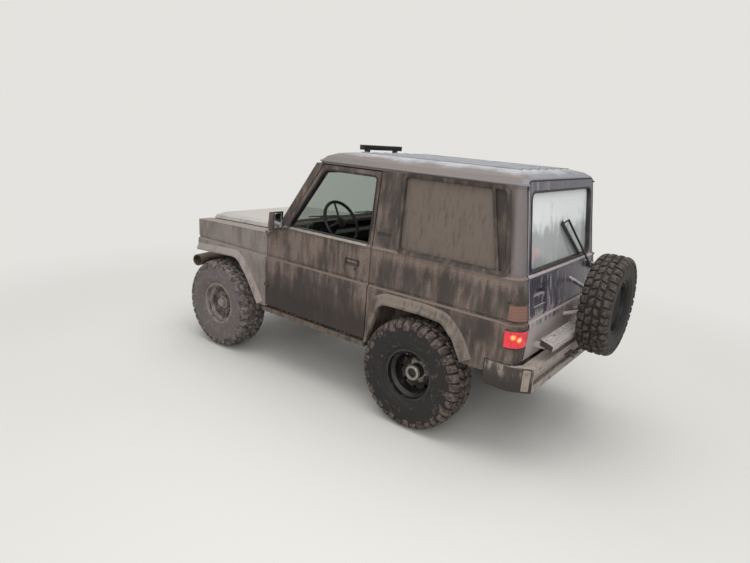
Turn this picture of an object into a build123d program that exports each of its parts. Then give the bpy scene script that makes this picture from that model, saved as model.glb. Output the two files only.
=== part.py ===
from build123d import *
import os
from math import cos, pi, radians, sin, tan

# A lifted, short-wheelbase off-road 4x4 with three doors, all in millimetres.
# x points to the vehicle's left, y to its rear and z up. The origin lies on the ground
# under the middle of the overall length. Places along the vehicle are stations, which
# are millimetres behind the front axle; at() turns a station into y.

wheelbase = 2205
track = 1400
front_reach = 585          # front axle to the front of the bumper tube
rear_reach = 3362          # front axle to the back of the spare tyre
front_axle_y = (front_reach - rear_reach) / 2
seat_gap = 0.3             # between curved faces that sit on each other
door_gap = 10              # round every door and lid


def at(station):
    return front_axle_y + station


# Wheels and tyres
tyre_radius = 418
tyre_width = 286
lug_height = 15
lug_count = 18
rim_radius = 190
rim_width = 216
hub_radius = 58
spare_radius = 368
spare_width = 222
spare_rim_width = 150
spare_x = -130
spare_height = 1035
spare_lugs = 16

# Body heights
sill_z = 548
floor_z = 600
load_floor_z = 700
groove_z = 1010
belt_z = 1285
drip_z = 1846
roof_rise = 108

# Body plan
half_width = 793
front_taper = 20
wall = 60
door_wall = 55
rear_corner = 85
taper_station = 640
nose_station = -352
door_front = 640
door_rear = 1754
cowl_station = 560
windscreen_lean = 34       # degrees back from upright
windscreen_top = 1107
frame_depth = 58
screen_glass = 6
rear_half_opening = 660
lip_width = 20             # rolled lip round each wheel arch
lip_proud = 5
window_rebate = 6          # step round each rear side window
window_border = 22

# Height, half width and station of the rear face, from the sill up to the drip rail.
# A bulge ends in a long groove, and a ridge at the belt stands out as narrow facets.
body_levels = [
    (sill_z, half_width - 8, 2970),
    (groove_z - 46, half_width, 2990),
    (groove_z - 20, half_width - 4, 2987),
    (groove_z - 8, half_width - 20, 2974),
    (groove_z + 4, half_width - 22, 2972),
    (groove_z + 12, half_width - 14, 2980),
    (belt_z - 16, half_width - 16, 2938),
    (belt_z, half_width - 7, 2944),
    (belt_z + 14, half_width - 26, 2926),
    (drip_z, half_width - 80, 2852),
]
tailgate_level = (drip_z + 46, half_width - 88, 2846)

# Height above the drip rail, and how far the roof's edge has come in there at the
# sides, the back and the front.
# The roof's outside starts with a gutter, whose lip stands out over a dark groove.
gutter_levels = [
    (0, 8, 6, 8),
    (12, 8, 6, 8),
    (15, -4, -4, -2),
    (22, -4, -4, -2),
]
roof_levels = [
    (0, 0, 0, 0),
    (26, 8, 4, 10),
    (58, 42, 18, 40),
    (84, 100, 56, 100),
    (roof_rise - 8, 190, 140, 190),
]


def body_form(inset=0, levels=None, overrun=0):
    """Closed body between the sill and the drip rail, each face drawn in by inset."""
    levels = levels or body_levels
    with BuildPart() as form:
        for index, (height, half, rear) in enumerate(levels):
            if index == 0:
                height = height - overrun
            if index == len(levels) - 1:
                height = height + overrun
            side = half - inset
            nose = side - front_taper
            with BuildSketch(Plane.XY.offset(height)) as section:
                with BuildLine():
                    Polyline(
                        (-nose, at(nose_station - 60)),
                        (nose, at(nose_station - 60)),
                        (side, at(taper_station)),
                        (side, at(rear - inset)),
                        (-side, at(rear - inset)),
                        (-side, at(taper_station)),
                        close=True,
                    )
                make_face()
                corners = section.vertices().group_by(Axis.Y)[-1]
                fillet(corners, rear_corner - inset)
        loft(ruled=True)
    return form.part


def roof_form(thickness=0):
    """Roof cap above the drip rail, drawn in by its own thickness for the inside."""
    levels = roof_levels if thickness else gutter_levels + roof_levels[1:]
    with BuildPart() as form:
        for index, (rise, side_in, rear_in, front_in) in enumerate(levels):
            height = drip_z + rise - (thickness if index > 0 else 5 * (thickness > 0))
            side = half_width - 78 - side_in - thickness
            front = at(windscreen_top - 12) + front_in + thickness
            rear = at(2860) - rear_in - thickness
            with BuildSketch(Plane.XY.offset(height)) as section:
                with Locations((0, (front + rear) / 2)):
                    Rectangle(2 * side, rear - front)
                fillet(section.vertices(), 90 - thickness)
        loft(ruled=True)
    return form.part


def slab(x_from, x_to, outline, grow=0):
    """Flat-sided block: an outline of (station, height), grown by a border, from one x to another."""
    low, high = sorted((x_from, x_to))
    with BuildPart() as block:
        with BuildSketch(Plane.YZ.offset(low)):
            with BuildLine():
                Polyline(*[(at(station), height) for station, height in outline], close=True)
            make_face()
            if grow:
                offset(amount=grow, kind=Kind.INTERSECTION)
        extrude(amount=high - low, dir=(1, 0, 0))
    return block.part


def box(x_from, x_to, station_from, station_to, z_from, z_to):
    """Plain block between two x, two stations and two heights."""
    return slab(x_from, x_to, [
        (station_from, z_from), (station_to, z_from), (station_to, z_to), (station_from, z_to),
    ])


def rod(start, end, radius):
    """Round bar between two points."""
    line = Vector(end) - Vector(start)
    with BuildPart() as bar:
        with BuildSketch(Plane(origin=start, z_dir=line)):
            Circle(radius)
        extrude(amount=line.length)
    return bar.part


def save(piece, name):
    piece.part.label = name
    export_step(piece.part, f"parts/{name}.step")


os.makedirs("parts", exist_ok=True)

outer_body = body_form()
inner_body = body_form(wall, overrun=5)
inner_door = body_form(door_wall, overrun=5)
trim_body = body_form(wall + seat_gap, overrun=5)
tailgate_levels = body_levels + [tailgate_level]
outer_tailgate = body_form(levels=tailgate_levels)
inner_tailgate = body_form(door_wall, levels=tailgate_levels, overrun=5)
proud_body = body_form(-lip_proud)
roof_outer = roof_form()
roof_inner = roof_form(24)

# Outlines seen from the side, as (station, height)
lean = tan(radians(windscreen_lean))


def pillar_station(height, behind=0):
    """Station of the windscreen's outer plane at a height, or of a line behind it."""
    return windscreen_top - (drip_z - 4 - height) * lean + behind


pillar_depth = frame_depth / cos(radians(windscreen_lean))
door_top = drip_z - door_gap
frame_front = pillar_depth + door_gap + 4
door_outline = [
    (door_front, sill_z + 18),
    (door_front, belt_z - 60),
    (pillar_station(belt_z - 4, frame_front), belt_z - 4),
    (pillar_station(door_top, frame_front), door_top),
    (door_rear, door_top),
    (door_rear, sill_z + 18),
]
window_bar = 38
door_window = [
    (pillar_station(belt_z + 16, frame_front + window_bar + 8), belt_z + 16),
    (pillar_station(door_top - window_bar, frame_front + window_bar + 8), door_top - window_bar),
    (door_rear - 32, door_top - window_bar),
    (door_rear - 32, belt_z + 16),
]
rear_arch = [
    (1776, sill_z - 60), (1783, sill_z - 18), (1872, 860), (1937, 896), (2251, 902),
    (2432, 887), (2530, 796), (2629, 613), (2668, sill_z - 60),
]
side_outline = [
    (door_rear + door_gap, sill_z), (door_rear + door_gap, drip_z), (2990, drip_z),
    (2990, 732), (2770, 732), (2770, 640), (2600, 640), (2600, sill_z),
]
side_window = [(1985, belt_z + 23), (1960, drip_z - 14), (2745, drip_z - 14), (2838, belt_z + 23)]
front_arch = [
    (nose_station - 80, sill_z - 60), (nose_station - 80, 884), (253, 925), (400, 766),
    (556, sill_z - 16), (560, sill_z - 60),
]
fender_top_front = 1176
fender_top_rear = 1206
fender_rear = door_front - door_gap
cowl_half = 714
lid_axis_station = cowl_station + 1      # the bonnet turns about its top rear edge
lid_axis_z = fender_top_rear + 57

tailgate_bottom = 732
tailgate_top = drip_z + 40

# The rear door hangs on the right, on pins that lean forwards with its face
tailgate_axis_x = -rear_half_opening + door_gap / 2
tailgate_lean = 0.1315
tailgate_hinges = [(850, 2983), (1200, 2950)]     # height, station of the face there


def tailgate_axis_station(height):
    return 3002 - (height - 994) * tailgate_lean


def tailgate_pin(height, along):
    """Point on the rear door's hinge line, a length along it from a height."""
    line = Vector(0, -tailgate_lean, 1).normalized()
    return Vector(tailgate_axis_x, at(tailgate_axis_station(height)), height) + line * along


def arch_lip(sign, arch, panel, inside):
    """Rolled lip round a wheel arch, kept to its own panel and off the panel's inside."""
    with BuildPart() as lip:
        add(slab(sign * (half_width - 90), sign * 900, arch, grow=lip_width))
        add(slab(0, sign * 900, panel), mode=Mode.INTERSECT)
        add(proud_body, mode=Mode.INTERSECT)
        add(inside, mode=Mode.SUBTRACT)
        add(slab(sign * 300, sign * 1000, arch), mode=Mode.SUBTRACT)
    return lip.part


# Body sides: rear quarter with its pillars, window and wheel arch
vent_slots = ((1386, 1394), (1400, 1408))
vent_depth = 10
with BuildPart() as tailgate_hole:
    with BuildSketch(Plane.XZ.offset(-at(2700))) as hole:
        with Locations((0, (sill_z - 40 + tailgate_top + door_gap) / 2)):
            Rectangle(2 * rear_half_opening, tailgate_top + door_gap - sill_z + 40)
        fillet(hole.vertices().group_by(Axis.Y)[-1], 60)
    extrude(amount=-400)


def rebate(sign):
    """Shallow step round a rear side window, as deep as the glass's border."""
    with BuildPart() as step:
        add(slab(sign * 400, sign * 900, side_window, grow=window_border))
        add(body_form(window_rebate, overrun=5), mode=Mode.SUBTRACT)
    return step.part


for name, sign in (("body_side_left", 1), ("body_side_right", -1)):
    with BuildPart() as body_side:
        add(slab(0, sign * 900, side_outline))
        add(outer_body, mode=Mode.INTERSECT)
        add(inner_body, mode=Mode.SUBTRACT)
        add(tailgate_hole.part, mode=Mode.SUBTRACT)
        add(slab(sign * 400, sign * 900, rear_arch), mode=Mode.SUBTRACT)
        add(arch_lip(sign, rear_arch, side_outline, inner_body))
        add(slab(sign * 400, sign * 900, side_window), mode=Mode.SUBTRACT)
        add(rebate(sign), mode=Mode.SUBTRACT)
        for low, high in vent_slots:
            vent_x = half_width - 36 - vent_depth
            add(box(sign * vent_x, sign * 900, 1785, 1915, low, high), mode=Mode.SUBTRACT)
        if sign < 0:
            for hinge_z, face in tailgate_hinges:
                add(box(-671, tailgate_axis_x, face - 12, tailgate_axis_station(hinge_z) + 6,
                        hinge_z - 26, hinge_z - 3))
                add(rod(tailgate_pin(hinge_z, -28), tailgate_pin(hinge_z, -0.15), 9))
    save(body_side, name)

# Doors: full-depth shells with the window cut, and a mirror at the front corner
door_axis_x = half_width + 4
door_axis_station = door_front - door_gap / 2
door_hinge_heights = (740, 1200)
mirror_station = pillar_station(belt_z + 60, frame_front) + 30
mirror_reach = 955
handle_pocket = (1520, 1650, 1120, 1158)     # stations and heights
handle_face = half_width - 15
handle_depth = 15
for name, sign in (("door_left", 1), ("door_right", -1)):
    with BuildPart() as door:
        add(slab(0, sign * 900, door_outline))
        add(outer_body, mode=Mode.INTERSECT)
        add(inner_door, mode=Mode.SUBTRACT)
        add(slab(sign * 400, sign * 900, door_window), mode=Mode.SUBTRACT)
        add(box(sign * 745, sign * 872, mirror_station - 22, mirror_station - 2, belt_z - 12, belt_z + 12))
        add(box(sign * (handle_face - handle_depth), sign * 900, *handle_pocket), mode=Mode.SUBTRACT)
        add(box(sign * (handle_face - handle_depth - 2), sign * (handle_face - 1),
                handle_pocket[0] + 6, handle_pocket[1] - 12, handle_pocket[2] + 14, handle_pocket[3] - 5))
        add(slab(sign * 850, sign * mirror_reach, [
            (mirror_station - 62, belt_z + 14), (mirror_station - 4, belt_z),
            (mirror_station + 6, belt_z + 150), (mirror_station - 46, belt_z + 142),
        ]))
        for hinge_z in door_hinge_heights:
            add(box(sign * 768, sign * (door_axis_x + 6), door_axis_station, door_front + 34,
                    hinge_z + seat_gap, hinge_z + 26))
            add(rod((sign * door_axis_x, at(door_axis_station), hinge_z + seat_gap),
                    (sign * door_axis_x, at(door_axis_station), hinge_z + 30), 7))
    save(door, name)

# Window glass, thin panes that stand in the middle of their frames
glass = 6
with BuildPart() as side_glass:
    add(slab(400, 900, side_window))
    add(slab(-900, -400, side_window))
    add(body_form(wall / 2), mode=Mode.INTERSECT)
    add(body_form(wall / 2 + glass, overrun=5), mode=Mode.SUBTRACT)
save(side_glass, "side_glass")
with BuildPart() as door_glass:
    add(slab(-900, -400, door_window))
    add(body_form(door_wall / 2, overrun=5), mode=Mode.INTERSECT)
    add(body_form(door_wall / 2 + glass, overrun=9), mode=Mode.SUBTRACT)
save(door_glass, "door_glass_right")

# Windscreen frame and cowl
screen_plane = Plane(
    origin=(0, at(pillar_station(belt_z + 5)), belt_z + 5),
    x_dir=(1, 0, 0),
    z_dir=(0, -cos(radians(windscreen_lean)), sin(radians(windscreen_lean))),
)
slope_length = (drip_z - belt_z - 5) / cos(radians(windscreen_lean))
screen_base_half = half_width - 38
screen_top_half = half_width - 82


def screen_plate(depth, thickness, margin, foot, head):
    """Trapezoid lying depth under the windscreen's plane, in from the frame's edges."""
    with BuildPart() as plate:
        with BuildSketch(screen_plane.offset(-depth)):
            with BuildLine():
                Polyline(
                    (-screen_base_half + margin, foot),
                    (screen_base_half - margin, foot),
                    (screen_top_half - margin, slope_length - head),
                    (-screen_top_half + margin, slope_length - head),
                    close=True,
                )
            make_face()
        extrude(amount=-thickness)
    return plate.part


with BuildPart() as windscreen_frame:
    add(screen_plate(0, frame_depth, 0, -80, -80))
    add(box(-900, 900, 400, 1500, belt_z + 5, drip_z), mode=Mode.INTERSECT)
    add(screen_plate(0, frame_depth / 2, 52, 30, 44), mode=Mode.SUBTRACT)
    add(screen_plate(frame_depth / 2, frame_depth, 64, 42, 56), mode=Mode.SUBTRACT)
    add(slab(-cowl_half, cowl_half, [
        (cowl_station + 6, fender_top_rear - 16), (cowl_station + 6, fender_top_rear + 36),
        (pillar_station(belt_z + 5), belt_z + 5),
        (pillar_station(belt_z + 5, pillar_depth + 20), belt_z + 5),
        (pillar_station(belt_z + 5, pillar_depth + 20), belt_z - 20),
        (660, fender_top_rear), (640, fender_top_rear - 16),
    ]))
    for sign in (1, -1):
        for near, far in ((304, 330 - seat_gap), (450 + seat_gap, 476)):
            add(rod((sign * near, at(lid_axis_station), lid_axis_z),
                    (sign * far, at(lid_axis_station), lid_axis_z), 5 - seat_gap))
            add(box(sign * near, sign * far, lid_axis_station, cowl_station + 24, fender_top_rear + 30,
                    lid_axis_z + 4))
save(windscreen_frame, "windscreen_frame")

with BuildPart() as windscreen_glass:
    add(screen_plate(frame_depth / 2 - screen_glass, screen_glass,
                     52 + seat_gap, 30 + seat_gap, 44 + seat_gap))
save(windscreen_glass, "windscreen_glass")

# Roof cap with its lengthwise ribs
with BuildPart() as roof:
    add(roof_outer)
    for rib in range(-3, 4):
        add(box(rib * 148 - 22, rib * 148 + 22, 1350, 2700, drip_z + 60, drip_z + roof_rise))
    add(roof_inner, mode=Mode.SUBTRACT)
    add(tailgate_hole.part, mode=Mode.SUBTRACT)
    add(box(-rear_half_opening, rear_half_opening, 2700, 2740, drip_z, drip_z + 62))
save(roof, "roof")

light_bar_z = drip_z + roof_rise + 8
light_bar_half = 277
with BuildPart() as roof_light_bar:
    add(box(-light_bar_half, light_bar_half, 1180, 1222, light_bar_z, light_bar_z + 40))
    for foot in (-200, 200):
        add(box(foot - 20, foot + 20, 1186, 1216, light_bar_z - 46, light_bar_z))
    add(roof_outer, mode=Mode.SUBTRACT)
    add(roof.part, mode=Mode.SUBTRACT)
save(roof_light_bar, "roof_light_bar")

# Front wings: thin skins with a flat ledge beside the bonnet and an inner arch
skin = 14
ledge_inner = 612
apron_x = 470
fender_outline = [
    (nose_station, 820), (nose_station - 14, fender_top_front),
    (cowl_station, fender_top_rear), (fender_rear, fender_top_rear + 2), (fender_rear, sill_z),
    (500, sill_z),
]
fender_inside = [
    (nose_station + skin, 700), (nose_station + skin - 12, fender_top_front - skin),
    (cowl_station, fender_top_rear - skin), (fender_rear + 40, fender_top_rear - skin + 2),
    (fender_rear + 40, sill_z - 40), (nose_station + skin, sill_z - 40),
]
inner_skin = body_form(skin, overrun=60)
for name, sign in (("fender_left", 1), ("fender_right", -1)):
    with BuildPart() as cavity:
        add(slab(sign * 300, sign * 900, fender_inside))
        add(inner_skin, mode=Mode.INTERSECT)
    with BuildPart() as fender:
        add(slab(sign * ledge_inner, sign * 900, fender_outline))
        add(outer_body, mode=Mode.INTERSECT)
        add(cavity.part, mode=Mode.SUBTRACT)
        add(slab(sign * 400, sign * 900, front_arch), mode=Mode.SUBTRACT)
        add(arch_lip(sign, front_arch, fender_outline, cavity.part))
        add(box(sign * 400, sign * (cowl_half + seat_gap), cowl_station + 6 - seat_gap, 700, 1100, 1300),
            mode=Mode.SUBTRACT)
        add(slab(sign * apron_x, sign * 752, [
            (nose_station + 24, 886), (253, 927), (400, 770), (412, 782), (260, 945),
            (nose_station + 24, 902),
        ]))
        add(slab(sign * apron_x, sign * (apron_x + 8), [
            (nose_station + 24, 886), (253, 927), (430, 750), (430, fender_top_rear - 30),
            (nose_station + 24, fender_top_front - 24),
        ]))
        add(slab(sign * apron_x, sign * (ledge_inner + 20), [
            (nose_station + 24, fender_top_front - 34), (430, fender_top_rear - 34),
            (430, fender_top_rear - 24), (nose_station + 24, fender_top_front - 24),
        ]))
        add(slab(sign * (ledge_inner + 10), sign * (ledge_inner + 18), [
            (nose_station + 24, fender_top_front - 34), (430, fender_top_rear - 34),
            (430, fender_top_rear - skin), (nose_station + 24, fender_top_front - skin + 1),
        ]))
        for hinge_z in door_hinge_heights:
            add(box(sign * 768, sign * (door_axis_x + 6), fender_rear - 34, door_axis_station,
                    hinge_z - 26, hinge_z))
            add(rod((sign * door_axis_x, at(door_axis_station), hinge_z - 30),
                    (sign * door_axis_x, at(door_axis_station), hinge_z), 7))
    save(fender, name)

# Bonnet: hollow lid with sloped edges between the wings' ledges
bonnet_rise = 56
bonnet_rear = cowl_station - 4
bonnet_front = nose_station - 12
bonnet_tilt = (fender_top_rear - fender_top_front) / (cowl_station - nose_station)
bonnet_plane = Plane(
    origin=(0, at(bonnet_front), fender_top_front + 5),
    x_dir=(1, 0, 0),
    z_dir=(0, -bonnet_tilt, 1),
)
bonnet_length = bonnet_rear - bonnet_front


def bonnet_form(inset, rise):
    """Frustum whose top is drawn in at the front and sides."""
    with BuildPart() as form:
        for height, side, front in ((0, 604, 0), (rise * 0.55, 590, 26), (rise, 545, 84)):
            with BuildSketch(bonnet_plane.offset(height)) as section:
                with Locations((0, (front + inset + bonnet_length - inset) / 2)):
                    Rectangle(2 * (side - inset), bonnet_length - front - 2 * inset)
                fillet(section.vertices().group_by(Axis.Y)[0], 45 - inset)
        loft(ruled=True)
    return form.part


with BuildPart() as bonnet:
    add(bonnet_form(0, bonnet_rise))
    add(bonnet_form(16, bonnet_rise - 14), mode=Mode.SUBTRACT)
    for sign in (1, -1):
        add(rod((sign * 330, at(lid_axis_station), lid_axis_z),
                (sign * 450, at(lid_axis_station), lid_axis_z), 5 - seat_gap))
        add(box(sign * 330, sign * 450, bonnet_rear - 6, lid_axis_station, lid_axis_z - 4, lid_axis_z + 3))
save(bonnet, "bonnet")

# Grille panel with slats and round lamp openings
lamp_x = 468
lamp_z = 1040
lamp_radius = 92
panel_back = nose_station + 20
panel_half = ledge_inner - seat_gap
with BuildPart() as grille_panel:
    add(box(-panel_half, panel_half, nose_station - 6, panel_back, 880, fender_top_front - 4))
    add(box(-350, 350, nose_station - 40, panel_back + 20, 950, 1130), mode=Mode.SUBTRACT)
    with BuildSketch(Plane.XZ.offset(-at(panel_back + 10))):
        with Locations((-lamp_x, lamp_z), (lamp_x, lamp_z)):
            Circle(lamp_radius + 4)
    extrude(amount=80, mode=Mode.SUBTRACT)
    for slat in range(6):
        slat_z = 962 + slat * 31
        add(slab(-350, 350, [
            (nose_station - 4, slat_z), (nose_station + 10, slat_z + 4),
            (nose_station + 10, slat_z + 12), (nose_station - 4, slat_z + 14),
        ]))
    for post in (-175, 0, 175):
        add(box(post - 4, post + 4, nose_station + 8, nose_station + 18, 950, 1130))
save(grille_panel, "grille_panel")

with BuildPart() as front_lamps:
    for sign in (1, -1):
        with BuildSketch(Plane.XZ.offset(-at(panel_back))):
            with Locations((sign * lamp_x, lamp_z)):
                Circle(lamp_radius + 4 - seat_gap)
        extrude(amount=22)
        add(box(sign * 640, sign * 740, nose_station - 26, nose_station - 5.4, 905, 950))
save(front_lamps, "front_lamps")

# Ladder frame: two rails that rise over the rear axle, with cross members
rail_x = 325
rail_width = 60
rail_outline = [
    (-440, 548), (440, 548), (640, 466), (1530, 466), (1740, 556), (2960, 556),
    (2960, 656), (1830, 656), (1580, 568), (650, 568), (330, 640), (-440, 640),
]
cross_members = [
    # station, height of centre, radius
    (-380, 594, 34), (1510, 556, 15), (1990, 606, 34), (2500, 606, 34), (2900, 606, 34),
]
mount_member = (880, 478, 498)      # station, bottom and top of the gearbox's cross member
spring_table = [
    # middle station, reach to each eye, height of the eyes
    (0, 400, 505),
    (wheelbase, 430, 516),
]
leaf_half = 28
body_mounts = [
    # station, top of the rail, underside of the floor
    (780, 568, floor_z), (1400, 568, floor_z), (1900, 656, load_floor_z), (2780, 656, load_floor_z),
]
with BuildPart() as chassis_frame:
    for sign in (1, -1):
        add(slab(sign * rail_x - rail_width / 2, sign * rail_x + rail_width / 2, rail_outline))
        for station, low, high in body_mounts:
            with BuildSketch(Plane(origin=(sign * rail_x, at(station), low))):
                Circle(28)
            extrude(amount=high - low)
        add(box(sign * rail_x - 8, sign * rail_x + 8, nose_station - 20, nose_station + 4, 600, 880))
        for middle, reach, eye_z in spring_table:
            for end in (-1, 1):
                for cheek in (-1, 1):
                    near = sign * rail_x + cheek * (leaf_half + seat_gap)
                    add(box(near, near + cheek * 8, middle + end * reach - 20,
                            middle + end * reach + 20, eye_z - 12, 566))
    for station, height, radius in cross_members:
        add(rod((-rail_x, at(station), height), (rail_x, at(station), height), radius))
    add(box(-rail_x, rail_x, mount_member[0] - 40, mount_member[0] + 40, *mount_member[1:]))
save(chassis_frame, "chassis_frame")

# Floor with firewall, door sills and rear wheel boxes
panel = 20
floor_half = 700
cowl_low = fender_top_rear - 16
floor_line = [
    (598, cowl_low), (598, 690), (740, floor_z), (1640, floor_z), (1690, load_floor_z),
    (2930, load_floor_z), (2930, load_floor_z + panel), (1676, load_floor_z + panel),
    (1630, floor_z + panel), (752, floor_z + panel), (598 + panel, 706), (598 + panel, cowl_low),
]
wheel_box = [
    (1760, 600), (1852, 880), (1925, 922), (2258, 928), (2448, 912), (2552, 812),
    (2650, 628), (2660, 600),
]
wheel_void = [
    (1776, 500), (1866, 862), (1931, 902), (2251, 908), (2438, 893), (2536, 802),
    (2634, 618), (2644, 500),
]
with BuildPart() as floor_tub:
    add(slab(-floor_half, floor_half, floor_line))
    for sign in (1, -1):
        add(slab(sign * 500, sign * 780, wheel_box))
        add(box(sign * 640, sign * 700, 598, door_rear + 20, sill_z + 22, floor_z + 60))
        add(box(sign * 640, sign * 700, 598, 640, floor_z, cowl_low))
        add(box(sign * 600, sign * 780, 2700, 2930, load_floor_z, load_floor_z + panel))
        add(box(sign * 600, sign * 780, door_rear + 12, 1800, sill_z + 22, floor_z + panel))
    for sign in (1, -1):
        add(slab(sign * 520, sign * 900, wheel_void), mode=Mode.SUBTRACT)
    add(box(-640, 640, 2900, 2925, 660, load_floor_z))
    add(trim_body, mode=Mode.INTERSECT)
save(floor_tub, "floor_tub")

# Tail lamps let into the rear corners
lamp_bands = ((845, 962), (1022, 1126))
with BuildPart() as tail_lamps:
    for sign in (1, -1):
        for low, high in lamp_bands:
            add(box(sign * 672, sign * 810, 2893, 3030, low, high))
    add(body_form(-9), mode=Mode.INTERSECT)
    add(body_form(-seat_gap, overrun=5), mode=Mode.SUBTRACT)
save(tail_lamps, "tail_lamps")

# Rear door: deep panel, window, handle side on the left, carrier for the spare wheel
tailgate_half = rear_half_opening - door_gap
spare_front = 3140
carrier_face = spare_front + spare_width / 2 - 20 - 18 - seat_gap
with BuildPart() as tailgate_window:
    with BuildSketch(Plane.XZ.offset(-at(2700))) as opening:
        with Locations((0, (belt_z + 22 + drip_z - 24) / 2)):
            Rectangle(2 * (tailgate_half - 56), drip_z - 24 - belt_z - 22)
        fillet(opening.vertices(), 42)
    extrude(amount=-400)
tailgate_handle = (360, 565)
with BuildPart() as rear_door:
    with BuildSketch(Plane.XZ.offset(-at(2650))) as leaf:
        with Locations((0, (tailgate_bottom + tailgate_top) / 2)):
            Rectangle(2 * tailgate_half, tailgate_top - tailgate_bottom)
        fillet(leaf.vertices().group_by(Axis.Y)[-1], 52)
    extrude(amount=-450)
    add(outer_tailgate, mode=Mode.INTERSECT)
    add(inner_tailgate, mode=Mode.SUBTRACT)
    add(tailgate_window.part, mode=Mode.SUBTRACT)
    for arm_x, arm_z in ((-130, 1180), (-270, 900), (10, 900)):
        add(rod((spare_x + (arm_x - spare_x) * 0.9, at(2930), arm_z),
                (spare_x + (arm_x - spare_x) * 0.3, at(carrier_face - 14),
                 spare_height + (arm_z - spare_height) * 0.3), 16))
    add(rod((spare_x, at(carrier_face - 14), spare_height), (spare_x, at(carrier_face), spare_height), 75))
    add(box(*tailgate_handle, 2920, 3100, 1150, 1226), mode=Mode.SUBTRACT)
    add(box(tailgate_handle[0] + 8, tailgate_handle[1] - 14, 2914, 2943, 1186, 1220))
    add(box(*tailgate_handle, 2960, 3100, 1080, 1136), mode=Mode.SUBTRACT)
    add(slab(-300, 510, [(3030, 822), (3030, 862), (3118, 835), (3118, 800)]))
    for arm_x in (-200, 480):
        add(box(arm_x - 20, arm_x + 20, 2950, 3060, 800, 830))
    for hinge_z, face in tailgate_hinges:
        add(box(tailgate_axis_x, -590, face - 12, tailgate_axis_station(hinge_z) + 6, hinge_z + 3, hinge_z + 26))
        add(rod(tailgate_pin(hinge_z, 0.15), tailgate_pin(hinge_z, 28), 9))
save(rear_door, "rear_door")

with BuildPart() as rear_door_glass:
    add(tailgate_window.part)
    add(body_form(door_wall / 2, levels=tailgate_levels), mode=Mode.INTERSECT)
    add(body_form(door_wall / 2 + glass, levels=tailgate_levels, overrun=5), mode=Mode.SUBTRACT)
save(rear_door_glass, "rear_door_glass")

# Rear wiper: an arm from its boss on the door up over the glass, and a blade beside it
wiper_line = Vector(0, 1, 0.17).normalized()
wiper_pivot = Vector(-520, at(2945.5), 1225) + wiper_line * seat_gap
wiper_tip = Vector(-55, at(2900), 1606)
with BuildPart() as rear_wiper:
    add(rod(wiper_pivot, wiper_pivot + wiper_line * 34, 22))
    add(rod(wiper_pivot + wiper_line * 26, wiper_tip, 8))
    add(rod(Vector(-390, at(2911), 1322), Vector(4, at(2876), 1590), 8))
    add(rod(wiper_tip, Vector(-10, at(2880), 1580), 6))
save(rear_wiper, "rear_wiper")

# Bumpers, sills and lamps outside the body
bumper_z = 736
tube_radius = 57
tube_wall = 7
front_eye_radius = 11.5
tow_eye_radius = 13
with BuildPart() as front_bumper:
    with BuildLine():
        FilletPolyline(
            (-705, at(-470), bumper_z), (-430, at(-front_reach + tube_radius), bumper_z),
            (430, at(-front_reach + tube_radius), bumper_z), (705, at(-470), bumper_z),
            radius=160,
        )
    with BuildSketch(Plane(origin=(-705, at(-470), bumper_z),
                           z_dir=(275, -front_reach + tube_radius + 470, 0))):
        Circle(tube_radius)
    sweep()
    for sign in (1, -1):
        add(slab(sign * rail_x - 12, sign * rail_x + 12, [
            (-440 - seat_gap, 548), (-440 - seat_gap, 640), (-490, 740), (-520, 740),
            (-520, 690), (-490, 600),
        ]))
        add(slab(sign * 220 - 12, sign * 220 + 12, [
            (-520, 650), (-520, 700), (-575, 700), (-575, 640), (-560, 625), (-535, 625),
        ]))
        add(rod((sign * 220 - 20, at(-550), 656), (sign * 220 + 20, at(-550), 656), front_eye_radius),
            mode=Mode.SUBTRACT)
        tube_end = Vector(sign * 705, at(-470), bumper_z)
        tube_line = Vector(sign * 275, front_reach - tube_radius - 470, 0).normalized()
        add(rod(tube_end - tube_line * 110, tube_end + tube_line * 10, tube_radius - tube_wall),
            mode=Mode.SUBTRACT)
save(front_bumper, "front_bumper")

with BuildPart() as rear_bumper:
    with BuildSketch(Plane.XY.offset(552)):
        with BuildLine():
            Polyline(
                (-786, at(2775)), (-786, at(2965)), (-705, at(3088)), (705, at(3088)),
                (786, at(2965)), (786, at(2775)), (770, at(2775)), (770, at(2950)),
                (694, at(3000)), (-694, at(3000)), (-770, at(2950)), (-770, at(2775)), close=True,
            )
        make_face()
    extrude(amount=170)
    add(box(-690, 690, 3064, 3100, 604, 672), mode=Mode.SUBTRACT)
    for sign in (1, -1):
        add(box(sign * rail_x - 30, sign * rail_x + 30, 2960 + seat_gap, 3000, 560, 650))
    add(box(-55, 55, 3060, 3142, 636, 654))
    add(rod((0, at(3112), 620), (0, at(3112), 670), tow_eye_radius), mode=Mode.SUBTRACT)
save(rear_bumper, "rear_bumper")

with BuildPart() as rock_sliders:
    for sign in (1, -1):
        add(box(sign * 722, sign * 778, 590, 1755, 496, sill_z - 12))
        for station in (760, 1150, 1560):
            add(box(sign * (rail_x + rail_width / 2), sign * 730, station - 20, station + 20, 502, 536))
save(rock_sliders, "rock_sliders")

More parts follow.
